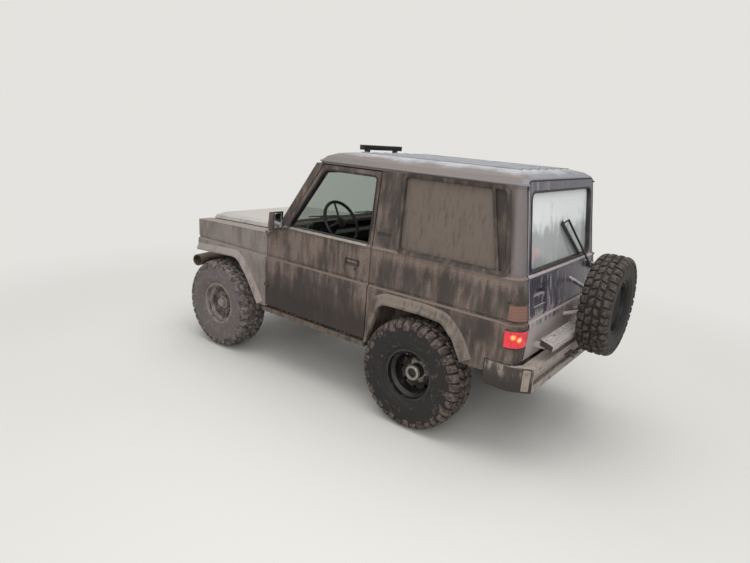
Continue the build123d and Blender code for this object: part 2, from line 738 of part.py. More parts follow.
# Running gear
axle_z = tyre_radius
kingpin_x = 540
wheel_x = track / 2
mount_x = wheel_x - 22
tube = 42
spring_x = rail_x
damper_foot = 66
with BuildPart() as front_axle:
    add(rod((-kingpin_x + 46, at(0), axle_z), (kingpin_x - 46, at(0), axle_z), tube))
    with Locations((-150, at(0), axle_z)):
        Sphere(128)
    add(rod((-150, at(0), axle_z), (-150, at(185), axle_z), 48))
    for sign in (1, -1):
        for low, high in ((axle_z - 92, axle_z - 72), (axle_z + 72, axle_z + 92)):
            add(rod((sign * kingpin_x, at(0), low), (sign * kingpin_x, at(0), high), 30))
        add(box(sign * (kingpin_x - 60), sign * (kingpin_x - 34), -28, 28, axle_z - 92, axle_z + 92))
        for low in (axle_z - 92, axle_z + 72):
            add(box(sign * (kingpin_x - 60), sign * kingpin_x, -26, 26, low, low + 20))
        add(box(sign * spring_x - 34, sign * spring_x + 34, -50, 50, axle_z, axle_z + tube + 6))
        add(box(sign * 446, sign * 456, -damper_foot - 24, 0, axle_z - 22, axle_z + 22))
save(front_axle, "front_axle")

with BuildPart() as rear_axle:
    add(rod((-mount_x + 60, at(wheelbase), axle_z), (mount_x - 60, at(wheelbase), axle_z), tube))
    with Locations((0, at(wheelbase), axle_z)):
        Sphere(132)
    add(rod((0, at(wheelbase - 190), axle_z), (0, at(wheelbase), axle_z), 48))
    for sign in (1, -1):
        add(rod((sign * (mount_x - 84), at(wheelbase), axle_z),
                (sign * (mount_x - 20), at(wheelbase), axle_z), 125))
        add(rod((sign * (mount_x - 20), at(wheelbase), axle_z),
                (sign * (mount_x - 10 - seat_gap), at(wheelbase), axle_z), 44))
        add(box(sign * 446, sign * 456, wheelbase, wheelbase + damper_foot + 24, axle_z - 22, axle_z + 22))
        add(box(sign * spring_x - 34, sign * spring_x + 34, wheelbase - 50, wheelbase + 50,
                axle_z, axle_z + tube + 6))
save(rear_axle, "rear_axle")

# Leaf springs above the axles, as an arched pack with hangers at both ends
with BuildPart() as leaf_springs:
    for middle, reach, eye_z in spring_table:
        base = axle_z + tube + 6 + seat_gap
        for sign in (1, -1):
            add(slab(sign * spring_x - leaf_half, sign * spring_x + leaf_half, [
                (middle - reach, eye_z), (middle - reach / 2, base + 12), (middle - 60, base),
                (middle + 60, base), (middle + reach / 2, base + 12), (middle + reach, eye_z),
                (middle + reach, eye_z + 9), (middle + reach / 2, base + 34), (middle + 60, base + 36),
                (middle - 60, base + 36), (middle - reach / 2, base + 34), (middle - reach, eye_z + 9),
            ]))
            for end in (-1, 1):
                add(rod((sign * spring_x - leaf_half, at(middle + end * reach), eye_z + 6),
                        (sign * spring_x + leaf_half, at(middle + end * reach), eye_z + 6), 20))
save(leaf_springs, "leaf_springs")

with BuildPart() as dampers:
    for middle, foot, head in ((0, -damper_foot, -110), (wheelbase, damper_foot, 130)):
        for sign in (1, -1):
            low = Vector(sign * 426, at(middle + foot), axle_z)
            high = Vector(sign * 412, at(middle + head), 606)
            line = (high - low).normalized()
            add(rod(low, high, 11))
            add(rod(low + line * 82, high - line * 14, 27))
            add(rod((sign * (rail_x + rail_width / 2 + seat_gap), high.Y, high.Z),
                    (sign * 430, high.Y, high.Z), 15))
            add(rod((sign * 410, low.Y, low.Z), (sign * (446 - seat_gap), low.Y, low.Z), 17))
save(dampers, "dampers")

# Knuckles, steering arms and tie rod
arm_reach = 150
arm_z = axle_z - 62
rod_z = axle_z - 96
for name, sign in (("knuckle_left", 1), ("knuckle_right", -1)):
    with BuildPart() as knuckle:
        add(rod((sign * kingpin_x, at(0), axle_z - 72 + seat_gap),
                (sign * kingpin_x, at(0), axle_z + 72 - seat_gap), 28))
        add(rod((sign * kingpin_x, at(0), axle_z), (sign * (mount_x - 10 - seat_gap), at(0), axle_z), 44))
        add(rod((sign * (mount_x - 68), at(0), axle_z), (sign * (mount_x - 54), at(0), axle_z), 135))
        add(box(sign * kingpin_x - 16, sign * kingpin_x + 16, 0, arm_reach + 16, arm_z - 7, arm_z + 7))
        add(rod((sign * kingpin_x, at(arm_reach), rod_z - 14), (sign * kingpin_x, at(arm_reach), arm_z), 8))
    save(knuckle, name)
with BuildPart() as tie_rod:
    add(rod((-kingpin_x + 12, at(arm_reach), rod_z), (kingpin_x - 12, at(arm_reach), rod_z), 13))
    for sign in (1, -1):
        add(rod((sign * kingpin_x, at(arm_reach), rod_z - 12), (sign * kingpin_x, at(arm_reach), rod_z + 12), 16))
    for sign in (1, -1):
        add(rod((sign * kingpin_x, at(arm_reach), rod_z - 40), (sign * kingpin_x, at(arm_reach), rod_z + 40), 8 + seat_gap),
            mode=Mode.SUBTRACT)
save(tie_rod, "tie_rod")

# Wheels
def drum(rings, sides):
    """Closed many-sided drum on the x axis, with flat faces, through rings of (x, radius)."""
    corners = [2 * pi * side / sides for side in range(sides)]
    loops = [[(x, radius * cos(turn), radius * sin(turn)) for turn in corners] for x, radius in rings]
    faces = [Face(Wire.make_polygon(loops[0])), Face(Wire.make_polygon(loops[-1]))]
    for near, far in zip(loops, loops[1:]):
        for side in range(sides):
            after = (side + 1) % sides
            faces.append(Face(Wire.make_polygon([near[side], near[after], far[after], far[side]])))
    return Solid(Shell(faces))


def tyre_form(radius, width, seat_width, lugs):
    """Tyre on the x axis: a many-sided carcass, and two staggered rings of lugs."""
    sides = 2 * lugs
    half = width / 2
    base = radius - lug_height
    bore = (rim_radius + 5 + seat_gap) / cos(pi / sides)
    bore_half = seat_width / 2 - 18
    belly = bore + 0.5 * (base - bore)
    lug_profile = [(0, base), (0.1, radius), (0.5, radius), (0.6, base)]     # share of the pitch, radius
    recess_slope = (belly - 6 - bore) / (half - bore_half)
    with BuildPart() as tyre:
        add(drum([
            (-half, belly), (6 - half, base - 34), (20 - half, base - 2),
            (half - 20, base - 2), (half - 6, base - 34), (half, belly),
        ], sides))
        for hand, phase in ((-1, 0), (1, 0.5)):
            with BuildSketch(Plane.YZ):
                with BuildLine():
                    turns = [((lug + share + phase) * 2 * pi / lugs, reach)
                             for lug in range(lugs) for share, reach in lug_profile]
                    Polyline(*[(reach * cos(turn), reach * sin(turn)) for turn, reach in turns], close=True)
                make_face()
            extrude(amount=hand * (half - 6), dir=(1, 0, 0))
        add(drum([
            (-half - 9, belly - 6 + 9 * recess_slope), (-bore_half, bore),
            (bore_half, bore), (half + 9, belly - 6 + 9 * recess_slope),
        ], sides), mode=Mode.SUBTRACT)
    return tyre.part


def rim_form(width, dish):
    """Steel wheel on the x axis, its outer side towards +x, with a pierced centre."""
    half = width / 2
    with BuildPart() as rim:
        with BuildSketch(Plane.XY):
            with BuildLine():
                Polyline(
                    (-half, rim_radius + 14), (-half, rim_radius - 8), (-half + 36, rim_radius - 12),
                    (-half + 60, rim_radius - 34), (half - 60, rim_radius - 34),
                    (half - 34, rim_radius - 12), (half, rim_radius - 8), (half, rim_radius + 14),
                    (half - 10, rim_radius + 14), (half - 14, rim_radius + 5), (-half + 14, rim_radius + 5),
                    (-half + 10, rim_radius + 14), close=True,
                )
            make_face()
            with BuildLine():
                Polyline(
                    (-dish - 8, hub_radius), (-dish - 8, 100), (-dish + 18, 130),
                    (-dish + 6, rim_radius - 30), (-dish - 8, rim_radius - 30), (-dish + 6, 132),
                    (-dish - 18, 104), (-dish - 18, hub_radius), close=True,
                )
            make_face()
        revolve(axis=Axis.X)
        with BuildSketch(Plane.YZ.offset(-half)):
            with PolarLocations(132, 8):
                Circle(15)
        extrude(amount=width, mode=Mode.SUBTRACT)
    return rim.part


hub_face = mount_x + 2
road_wheels = [
    # name, side, station
    ("front_left", 1, 0), ("front_right", -1, 0), ("rear_left", 1, wheelbase), ("rear_right", -1, wheelbase),
]
road_tyre = tyre_form(tyre_radius, tyre_width, rim_width, lug_count)
road_rim = rim_form(rim_width, wheel_x - mount_x)
for name, side, station in road_wheels:
    turn = 0 if side > 0 else 180
    place = Location((side * wheel_x, at(station), axle_z), (0, 0, turn))
    with BuildPart() as tyre:
        add(road_tyre.moved(place))
    save(tyre, f"tyre_{name}")
    with BuildPart() as rim:
        add(road_rim.moved(place))
        add(rod((side * (mount_x - 10), at(station), axle_z), (side * (mount_x + 62), at(station), axle_z), hub_radius + 1))
    save(rim, f"rim_{name}")

spare_place = Location((spare_x, at(spare_front + spare_width / 2), spare_height), (0, 0, 90))
with BuildPart() as spare_tyre:
    add(tyre_form(spare_radius, spare_width, spare_rim_width, spare_lugs).moved(spare_place))
save(spare_tyre, "spare_tyre")
with BuildPart() as spare_rim:
    add(rim_form(spare_rim_width, 20).moved(spare_place))
save(spare_rim, "spare_rim")

# Engine, gearbox and drive line, which show from below
with BuildPart() as engine_block:
    add(box(-190, 190, -120, 470, 600, 1090))
    add(box(10, 150, -60, 400, 556, 600))
    for sign in (1, -1):
        add(box(sign * 190, sign * (rail_x - rail_width / 2 - seat_gap), 120, 180, 602, 630))
save(engine_block, "engine_block")
with BuildPart() as radiator:
    add(box(-305, 305, -250, -200, 640, 1120))
save(radiator, "radiator")
with BuildPart() as gearbox:
    add(slab(-110, 110, [(470, 602), (470, 820), (596, 780), (596, 580), (560, 560)]))
    add(slab(-90, 90, [(560, mount_member[2] + seat_gap), (560, 590), (1300, 590),
                       (1300, mount_member[2] + seat_gap)]))
    add(box(-200, 60, 1010, 1240, 404, 560))
save(gearbox, "gearbox")
shafts = [
    # x, station and height at the front and at the back, radius
    (-150, 185, axle_z, 1010, 436, 24),
    (0, 1300, 545, wheelbase - 190, axle_z, 27),
]
with BuildPart() as propshafts:
    for x, front, front_z, rear, rear_z, radius in shafts:
        for station, height, out in ((front, front_z, 1), (rear, rear_z, -1)):
            add(rod((x, at(station + out * seat_gap), height), (x, at(station + out * 24), height), 36))
        add(rod((x, at(front + 18), front_z), (x, at(rear - 18), rear_z), radius))
save(propshafts, "propshafts")
pipe_x = 220
pipe = [
    (pipe_x, at(300), 500), (pipe_x, at(640), 436), (pipe_x, at(1560), 436), (pipe_x, at(1900), 518),
    (pipe_x, at(2640), 518), (430, at(2840), 505), (430, at(3010), 505),
]
with BuildPart() as exhaust:
    with BuildLine():
        FilletPolyline(*pipe, radius=[120, 160, 160, 90, 90])
    with BuildSketch(Plane(origin=pipe[0], z_dir=Vector(*pipe[1]) - Vector(*pipe[0]))):
        Circle(23)
    sweep()
    add(box(pipe_x - 8, pipe_x + 8, mount_member[0] - 10, mount_member[0] + 10, 450,
            mount_member[1] - seat_gap))
    add(rod((pipe_x, at(1120), 436), (pipe_x, at(1480), 436), 52))
save(exhaust, "exhaust")
with BuildPart() as fuel_tank:
    add(slab(-270, 150, [(2560, 430), (2560, 560), (2860, 560), (2860, 460), (2830, 430)]))
    for strap_x in (-210, 70):
        add(box(strap_x - 15, strap_x + 15, 2480, 2920, 556, 572 - seat_gap))
save(fuel_tank, "fuel_tank")

# Interior seen through the glass and the open window
column = Vector(0, 170, 100).normalized()
wheel_centre = Vector(360, at(1098), 1338)
with BuildPart() as dashboard:
    add(slab(-630, 630, [
        (618 + seat_gap, 930), (618 + seat_gap, 1150), (660, 1176), (760, 1212), (870, 1212),
        (905, 1190), (905, 1110), (860, 960),
    ]))
    add(rod(wheel_centre - column * 330, wheel_centre - column * (24 + seat_gap), 22))
save(dashboard, "dashboard")
with BuildPart() as steering_wheel:
    with BuildSketch(Plane(origin=wheel_centre + Vector(190, 0, 0), z_dir=(0, column.Z, -column.Y))):
        Circle(14)
    revolve(axis=Axis(wheel_centre, column))
    with BuildSketch(Plane(origin=wheel_centre - column * 24, z_dir=column)):
        Circle(45)
    extrude(amount=20)
    for angle in (10, 170, 270):
        spoke_end = wheel_centre + (Vector(1, 0, 0) * cos(radians(angle)) + column.cross(Vector(1, 0, 0)) * sin(radians(angle))) * 186
        add(rod(wheel_centre - column * 12, spoke_end, 9))
save(steering_wheel, "steering_wheel")

seat_places = (350, -350)
with BuildPart() as front_seats:
    for seat_x in seat_places:
        add(slab(seat_x - 250, seat_x + 250, [
            (1080, 800), (1080, 900), (1110, 925), (1560, 900), (1600, 860), (1600, 800),
        ]))
        add(slab(seat_x - 245, seat_x + 245, [
            (1530, 905), (1640, 1500), (1700, 1560), (1750, 1540), (1740, 1460), (1640, 860), (1600, 860), (1560, 900),
        ]))
        add(slab(seat_x - 130, seat_x + 130, [(1655, 1560), (1665, 1720), (1700, 1745), (1750, 1720), (1745, 1545)]))
        add(box(seat_x - 200, seat_x + 200, 1140, 1560, floor_z + panel, 800))
save(front_seats, "front_seats")
with BuildPart() as rear_bench:
    add(slab(-470, 470, [(2080, 720), (2080, 960), (2110, 985), (2520, 960), (2520, 720)]))
    add(slab(-470, 470, [(2430, 960), (2560, 1440), (2600, 1450), (2640, 1430), (2540, 900), (2520, 900)]))
save(rear_bench, "rear_bench")
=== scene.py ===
# %% [markdown]
# A lifted off-road 4x4, dressed around its fixed CAD frame. The vehicle stands in dried
# mud from its sills to its roof, so most of the work is one idea used many times: a base
# finish, a thin brown film over it and thicker mud on top, each with its own scale.
# Everything is in metres, in the frame of the CAD model: x to the vehicle's left, y to
# the rear, z up.

from math import radians

import bmesh
import bpy
import numpy as np
from mathutils import Matrix, Vector


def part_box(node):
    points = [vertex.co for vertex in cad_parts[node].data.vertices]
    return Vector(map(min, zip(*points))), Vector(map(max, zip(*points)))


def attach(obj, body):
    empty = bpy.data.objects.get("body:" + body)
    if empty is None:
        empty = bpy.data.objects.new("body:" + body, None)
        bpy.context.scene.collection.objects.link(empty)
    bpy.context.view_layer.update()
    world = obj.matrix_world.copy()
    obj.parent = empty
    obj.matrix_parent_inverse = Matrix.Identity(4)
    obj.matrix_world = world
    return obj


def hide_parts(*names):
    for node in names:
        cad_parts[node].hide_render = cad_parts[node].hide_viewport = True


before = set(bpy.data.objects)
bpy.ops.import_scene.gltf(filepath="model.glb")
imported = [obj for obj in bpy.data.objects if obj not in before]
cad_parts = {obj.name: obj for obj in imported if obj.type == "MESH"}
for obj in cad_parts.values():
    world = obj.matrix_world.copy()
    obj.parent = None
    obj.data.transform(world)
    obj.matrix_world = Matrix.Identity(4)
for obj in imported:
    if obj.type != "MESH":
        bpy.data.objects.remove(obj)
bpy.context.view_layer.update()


def middle(node):
    """Middle of a CAD node's box."""
    low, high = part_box(node)
    return (low + high) / 2


front_axle_y = middle("tyre_front_left").y
wheelbase = 2.205                             # station of the rear axle
both_sides = ((1, "left"), (-1, "right"))     # sign of x, and its name


def at(station):
    """A station is a distance behind the front axle; this turns it into y."""
    return front_axle_y + station


# %% [markdown]
# The camera stands behind the left rear corner, a little above the belt line. Its place
# was solved once from points of the body that can be found again on the CAD model, so it
# is written here as a point, two directions and a focal length. An empty with a Track To
# constraint would also aim it, but it could not carry the slight roll of a hand-held
# picture.

# %% Camera
camera_place = Vector((4.025, 2.8325, 2.111))
camera_right = Vector((-0.609, 0.789, 0.077))
camera_forward = Vector((-0.777, -0.575, -0.257)).normalized()
focal_pixels = 559.7
image_width = 750
sensor_width = 36

camera_down = camera_forward.cross(camera_right).normalized()
camera_right = camera_down.cross(camera_forward).normalized()
camera_data = bpy.data.cameras.new("camera")
camera_data.sensor_width = sensor_width
camera_data.lens = focal_pixels / image_width * sensor_width
camera = bpy.data.objects.new("camera", camera_data)
columns = Matrix((camera_right, -camera_down, -camera_forward)).transposed()
camera.matrix_world = Matrix.Translation(camera_place) @ columns.to_4x4()
bpy.context.scene.collection.objects.link(camera)
bpy.context.scene.camera = camera
print("lens", round(camera_data.lens, 2), "mm")


# %% [markdown]
# Colours are written as the hex codes that a paint chart or an image editor shows. Those
# are sRGB values, and shaders want linear ones, so one function turns them. A second
# small function adds any shader node: what it is given as a socket it links, and what
# it is given as a value it sets. The others wrap the few nodes that every finish needs.

# %% Colour and node helpers
def linear(code):
    """sRGB hex to linear: below 0.04045 divided by 12.92, above it a power of 2.4."""
    parts = np.array([int(code[start:start + 2], 16) for start in (1, 3, 5)]) / 255
    straight = parts / 12.92
    curved = ((parts + 0.055) / 1.055) ** 2.4
    return (*np.where(parts <= 0.04045, straight, curved).tolist(), 1.0)


def add_node(tree, kind, inputs=(), **settings):
    """One shader node with its settings; an input that is a socket is linked."""
    made = tree.nodes.new("ShaderNode" + kind)
    for name, value in settings.items():
        setattr(made, name, value)
    for key, value in dict(inputs).items():
        if isinstance(value, bpy.types.NodeSocket):
            tree.links.new(value, made.inputs[key])
        else:
            made.inputs[key].default_value = value
    return made


def blank_material(name):
    """A material with an empty node tree, and the place of the point that is shaded."""
    made = bpy.data.materials.new(name)
    made.use_nodes = True
    made.node_tree.nodes.clear()
    return made, made.node_tree, add_node(made.node_tree, "TexCoord").outputs["Object"]


def show(tree, shader):
    """Make this shader the look of its material."""
    add_node(tree, "OutputMaterial", {"Surface": shader})


def mix_shaders(tree, factor, first, second):
    """Shader that goes from the first to the second as the factor goes from 0 to 1."""
    return add_node(tree, "MixShader", {0: factor, 1: first, 2: second}).outputs[0]


def mix_colours(tree, factor, first, second):
    """The same for two colours, each a hex code or a socket."""
    first, second = (linear(end) if isinstance(end, str) else end for end in (first, second))
    return add_node(tree, "Mix", {0: factor, 6: first, 7: second}, data_type="RGBA").outputs[2]


def mix_values(tree, factor, first, second):
    """The same for two numbers."""
    return add_node(tree, "Mix", {0: factor, 2: first, 3: second}, data_type="FLOAT").outputs[0]


def reckon(tree, operation, *values):
    """Result of one operation of the Math node."""
    return add_node(tree, "Math", dict(enumerate(values)), operation=operation).outputs[0]


def weigh(tree, *terms):
    """Sum of sockets, each times its own weight."""
    total = 0.0
    for socket, weight in terms:
        total = reckon(tree, "MULTIPLY_ADD", socket, weight, total)
    return total


def ramp(tree, value, low, high, to_low=0.0, to_high=1.0):
    """Smooth step of a value from low to high."""
    inputs = {0: value, 1: low, 2: high, 3: to_low, 4: to_high}
    return add_node(tree, "MapRange", inputs, interpolation_type="SMOOTHSTEP").outputs[0]


def pressed(tree, place, *scale):
    """Place times a scale for each axis; a noise is drawn out along an axis below 1."""
    return add_node(tree, "Mapping", {"Vector": place, "Scale": scale}).outputs[0]


def noise(tree, place, size_mm, detail=4.0, roughness=0.6):
    """Noise whose blotches are about size_mm across."""
    inputs = {"Vector": place, "Scale": 1000 / size_mm, "Detail": detail, "Roughness": roughness}
    return add_node(tree, "TexNoise", inputs).outputs[0]


def coat(tree, colour, rough, relief=None, strength=0.6, depth_mm=1.0, more=()):
    """Principled shader, whose relief stands out by depth_mm where it is 1."""
    inputs = {"Base Color": colour, "Roughness": rough, **dict(more)}
    if relief is not None:
        bump = {"Strength": strength, "Distance": depth_mm / 1000, "Height": relief}
        inputs["Normal"] = add_node(tree, "Bump", bump).outputs[0]
    return add_node(tree, "BsdfPrincipled", inputs).outputs[0]


# %% [markdown]
# The floor is a plain pale studio floor that fades into a background of the same colour,
# so that nothing competes with the dull browns of the vehicle. The light is soft and
# level, as under an overcast sky: a wide lamp overhead, a weaker one from the camera's
# side and a low fill. A sky texture would be livelier, but its sun would draw hard
# shadows that the photograph does not have.

# %% Floor, background and lamps
backdrop = linear("#e4e3df")
floor_size = 60
floor_fade = (2.2, 6.0)          # distances from the middle between which the floor fades
lamps_aim = Vector((0, 0, 0.9))

world = bpy.data.worlds.new("soft_room")
world.use_nodes = True
room = world.node_tree
room.nodes.clear()
rays = add_node(room, "LightPath").outputs
seen = reckon(room, "MAXIMUM", rays["Is Camera Ray"], rays["Is Glossy Ray"])
seen = reckon(room, "MAXIMUM", seen, rays["Is Transmission Ray"])
lit = add_node(room, "Background", {"Color": linear("#eef1f4"), "Strength": 0.62}).outputs[0]
shown = add_node(room, "Background", {"Color": backdrop, "Strength": 1.0}).outputs[0]
add_node(room, "OutputWorld", {"Surface": mix_shaders(room, seen, lit, shown)})
bpy.context.scene.world = world

floor_paint, tree, place = blank_material("studio_floor")
distance = add_node(tree, "VectorMath", {0: place}, operation="LENGTH").outputs["Value"]
near_floor = add_node(tree, "BsdfDiffuse", {"Color": linear("#d9d7d1")}).outputs[0]
far_floor = add_node(tree, "Emission", {"Color": backdrop}).outputs[0]
show(tree, mix_shaders(tree, ramp(tree, distance, *floor_fade), near_floor, far_floor))

bpy.ops.mesh.primitive_plane_add(size=floor_size)
floor = bpy.context.object
floor.name = "studio_floor"
floor.data.materials.append(floor_paint)

lamp_table = [
    # name, place, size, power in watts
    ("overhead", (0.6, 0.3, 6.0), 6.0, 260),
    ("camera_side", (5.5, 3.5, 3.6), 4.0, 130),
    ("far_side", (-5.5, -2.5, 3.5), 4.0, 90),
]
for name, place, size, power in lamp_table:
    lamp = bpy.data.lights.new(name, "AREA")
    lamp.size = size
    lamp.energy = power
    holder = bpy.data.objects.new(name, lamp)
    aim = (lamps_aim - Vector(place)).to_track_quat("-Z", "Y")
    holder.matrix_world = Matrix.Translation(place) @ aim.to_matrix().to_4x4()
    bpy.context.scene.collection.objects.link(holder)
bpy.context.scene.view_settings.view_transform = "Standard"
print("lamps", len(lamp_table))


# %% [markdown]
# Dried mud is a film and a crust. The film is fine silt left by water that ran off: it
# tints the paint, and it runs down in soft streaks. The crust is thrown up by the wheels:
# it is lighter, rough and thick enough to catch light at its edges. One function builds
# the three layers, paint or metal, film and crust, from noises at sizes that were judged
# against parts of known size. The streak noise is the same noise pressed flat in z.
# Painting the dirt by hand would need an image; noises give the same look anywhere.

# %% Finish under mud
streak_mm = 32
grit_mm = 5


def muddied(name, colours, share=0.5, cover=0.7, bands=(), streak=0.5, up=0.0, patch_mm=150,
            soft=0.1, rough=(0.45, 0.9), metallic=0.0, depth_mm=0.8, rings=None, back=0.0,
            washed=None, damp_and_low_shade=None):
    """Ground finish, then a film, then crusts of dried mud.

    colours are two codes each for ground, film and crust, and a noise wanders between the
    two. share is how much of the surface the crust takes and cover the film. bands add
    to the crust between two heights, each with its weight, up adds to it on faces that
    look upwards, back on faces that look to the rear, and soft is the width of its edge.
    rings, a point on a wheel's axle, adds tide lines at even distances round it. washed,
    a colour and a height, shows above that height on whatever looks to the rear, and
    the last, also a colour and a height, darkens what lies below it, partly as wet mud
    and partly as painted shade low down; where back is given, what looks to the rear is
    left out of that darkening.
    """
    codes = colours.split()
    made, tree, place = blank_material(name)
    height = add_node(tree, "SeparateXYZ", {0: place}).outputs[2]
    normal = add_node(tree, "TexCoord").outputs["Normal"]
    facing = add_node(tree, "SeparateXYZ", {0: normal}).outputs
    faces_rear = ramp(tree, facing[1], 0.6, 0.9)
    patches = noise(tree, pressed(tree, place, 1, 1, 0.4), patch_mm, 6.0, 0.62)
    streaks = noise(tree, pressed(tree, place, 1, 1, 0.15), streak_mm, 5.0, 0.55)
    grit = noise(tree, place, grit_mm, 3.0, 0.7)
    blotches = noise(tree, place, patch_mm * 3, 3.0)

    terms = [(patches, 1.1 * (1 - streak)), (streaks, 1.1 * streak), (grit, 0.18)]
    for low, high, weight in bands:
        terms.append((ramp(tree, height, low - 0.05, low + 0.03), weight))
        terms.append((ramp(tree, height, high - 0.03, high + 0.05), -weight))
    if up:
        terms.append((ramp(tree, facing[2], 0.1, 0.8), up))
    if back:
        terms.append((faces_rear, back))
    if rings:
        from_axle = add_node(tree, "Mapping", {"Vector": place, "Scale": (0, 1, 1),
                                               "Location": (0, -rings[0], -rings[1])}).outputs[0]
        radius = add_node(tree, "VectorMath", {0: from_axle}, operation="LENGTH").outputs["Value"]
        lines = add_node(tree, "TexNoise", {"W": radius, "Scale": 160.0, "Detail": 3.0},
                         noise_dimensions="1D").outputs[0]
        terms.append((ramp(tree, lines, 0.45, 0.62), 0.16))
    level = weigh(tree, *terms)
    edge = 0.86 - 0.5 * share
    crusted = ramp(tree, level, edge - soft, edge + soft)
    film_level = weigh(tree, (streaks, 0.5), (blotches, 0.5))
    filmed = ramp(tree, film_level, 0.66 - 0.4 * cover, 0.92 - 0.4 * cover)

    under = mix_colours(tree, ramp(tree, blotches, 0.35, 0.65), *codes[:2])
    silt = mix_colours(tree, ramp(tree, patches, 0.38, 0.62), *codes[2:4])
    clay = mix_colours(tree, ramp(tree, grit, 0.3, 0.7), *codes[4:])
    colour = mix_colours(tree, crusted, mix_colours(tree, filmed, under, silt), clay)
    if washed:
        above = ramp(tree, height, washed[1] - 0.06, washed[1] + 0.06)
        rinsed = reckon(tree, "MULTIPLY", ramp(tree, facing[1], 0.12, 0.6), above)
        rinsed = weigh(tree, (rinsed, 0.85), (crusted, -0.3))
        colour = mix_colours(tree, rinsed, colour, washed[0])
    # Below a height the colour darkens, partly as wet mud and partly as painted shade low down;
    # where back is given, faces that look to the rear are left out, so this shade falls on the
    # other faces.
    if damp_and_low_shade:
        below = ramp(tree, height, damp_and_low_shade[1] - 0.12, damp_and_low_shade[1] + 0.06, 0.75, 0.0)
        if back:
            below = weigh(tree, (below, 1.0), (faces_rear, -1.0))
        colour = mix_colours(tree, below, colour, damp_and_low_shade[0])
    film_rough = mix_values(tree, filmed, rough[0], rough[1] - 0.15)
    relief = weigh(tree, (crusted, 0.7), (grit, 0.35))
    shine = {"Metallic": mix_values(tree, crusted, metallic, 0.0)} if metallic else {}
    show(tree, coat(tree, colour, mix_values(tree, crusted, film_rough, rough[1]), relief, 0.7,
                    depth_mm, shine))
    return made


# %% [markdown]
# The paint is an alkyd enamel in a dark violet blue. It shows best on the rear door,
# which rode out of the spray; the sides are nearly hidden under film, the front wings
# and bonnet carry a paler, beiger crust, and rain has washed the roof to a dusty grey.
# So each panel group gets the same finish with other shares.

# %% Body finishes
quarter_bands = ((1.03, 1.24, -0.06), (1.22, 1.30, 0.10), (0.84, 1.00, -0.08),
                 (0.50, 0.72, -0.03), (1.30, 1.84, -0.05))
door_bands = ((1.03, 1.24, 0.03), (0.66, 0.86, -0.09), (0.40, 0.66, -0.24), (1.30, 1.84, -0.05))
side_look = dict(
    colours="#38342f #423c38 #382e29 #4a3f38 #62544b #84746b", share=0.40, cover=1.0,
    streak=0.42, up=0.3, soft=0.13, rough=(0.4, 0.85), depth_mm=1.0)
quarter_enamel = muddied(
    "enamel_under_mud_quarters", bands=quarter_bands, washed=("#7a7172", 1.27), **side_look)
# The doors darken below 0.80 m, partly as wet mud and partly as painted shade.
side_enamel = muddied(
    "enamel_under_mud_doors", bands=door_bands, damp_and_low_shade=("#261e19", 0.80), **side_look)
flare_enamel = muddied(
    "enamel_under_mud_arches", "#463f3a #4f4842 #4b423b #5d534a #6d6157 #887b70", share=0.44,
    streak=0.3, up=0.25, patch_mm=70)
wing_enamel = muddied(
    "enamel_under_mud_wings", "#5f5651 #6b615c #6a605a #7b706a #796e68 #948983", share=0.50,
    streak=0.3, up=0.2, bands=((0.45, 0.72, -0.14),), soft=0.11)
front_flare = muddied(
    "enamel_under_pale_mud_arches", "#786d69 #857a75 #7d726d #8f847f #8b807b #a59a95",
    share=0.5, streak=0.2, up=0.15, patch_mm=70, soft=0.11)
lid_enamel = muddied(
    "enamel_under_dust_bonnet", "#918d88 #9e9a95 #949089 #a8a49e #a19c95 #bab5ae", share=0.45,
    streak=0.2, up=0.1, soft=0.13, rough=(0.4, 0.85))
door_enamel = muddied(
    "enamel_under_thin_film_rear", "#403d4a #4c4957 #4f4b57 #67636f #968b8b #bbb0ae",
    share=0.18, cover=0.5, bands=((0.70, 0.92, 0.70), (0.92, 1.02, 0.16)), streak=0.8, up=0.3,
    soft=0.12, rough=(0.32, 0.75))
roof_enamel = muddied(
    "enamel_under_dust_roof", "#8e9197 #999ca2 #8a8b8d #969798 #665e5a #766e6a", share=0.10,
    bands=((1.78, 1.91, 0.60),), streak=0.1, patch_mm=260, soft=0.18, rough=(0.5, 0.75),
    depth_mm=0.4, washed=("#8a8f9a", 1.75))

finishes = {
    quarter_enamel: "body_side_left body_side_right",
    side_enamel: "door_left door_right windscreen_frame",
    wing_enamel: "fender_left fender_right grille_panel",
    lid_enamel: "bonnet",
    door_enamel: "rear_door",
    roof_enamel: "roof",
}

# %% [markdown]
# Below the sills everything has been under water. Rolled steel of the frame, cast iron
# of the axles and spring steel of the leaves start dark and matt, and differ mostly in
# how much clay has stayed: none on the moving rods, a lot on whatever faces up.

# %% Running gear finishes
# The rear bumper darkens below 0.68 m except where it faces the rear, partly as wet mud and partly
# as painted shade underneath.
bumper_steel = muddied(
    "welded_steel_under_clay", "#382f2a #463c36 #473d37 #5a4f48 #8c8179 #b0a59d", share=0.26,
    streak=0.2, up=0.42, back=0.27, patch_mm=70, bands=((0.40, 0.60, -0.10),), soft=0.10,
    depth_mm=1.5, rough=(0.6, 0.95), damp_and_low_shade=("#1d1714", 0.68))
frame_steel = muddied(
    "rolled_frame_steel", "#26211e #332c27 #3d342d #4a4037 #5b4e44 #75675b", share=0.5, up=0.4,
    rough=(0.6, 0.95), patch_mm=80)
cast_iron = muddied(
    "cast_iron_under_clay", "#2a2522 #37302b #463b33 #52463d #66584c #7d6e61", share=0.6,
    up=0.4, rough=(0.65, 0.95), patch_mm=60)
worn_steel = muddied(
    "worn_bright_steel", "#5e5a55 #6d6862 #54493f #635749 #6a5b4f #80705f", share=0.35,
    metallic=0.7, rough=(0.38, 0.9), patch_mm=50)
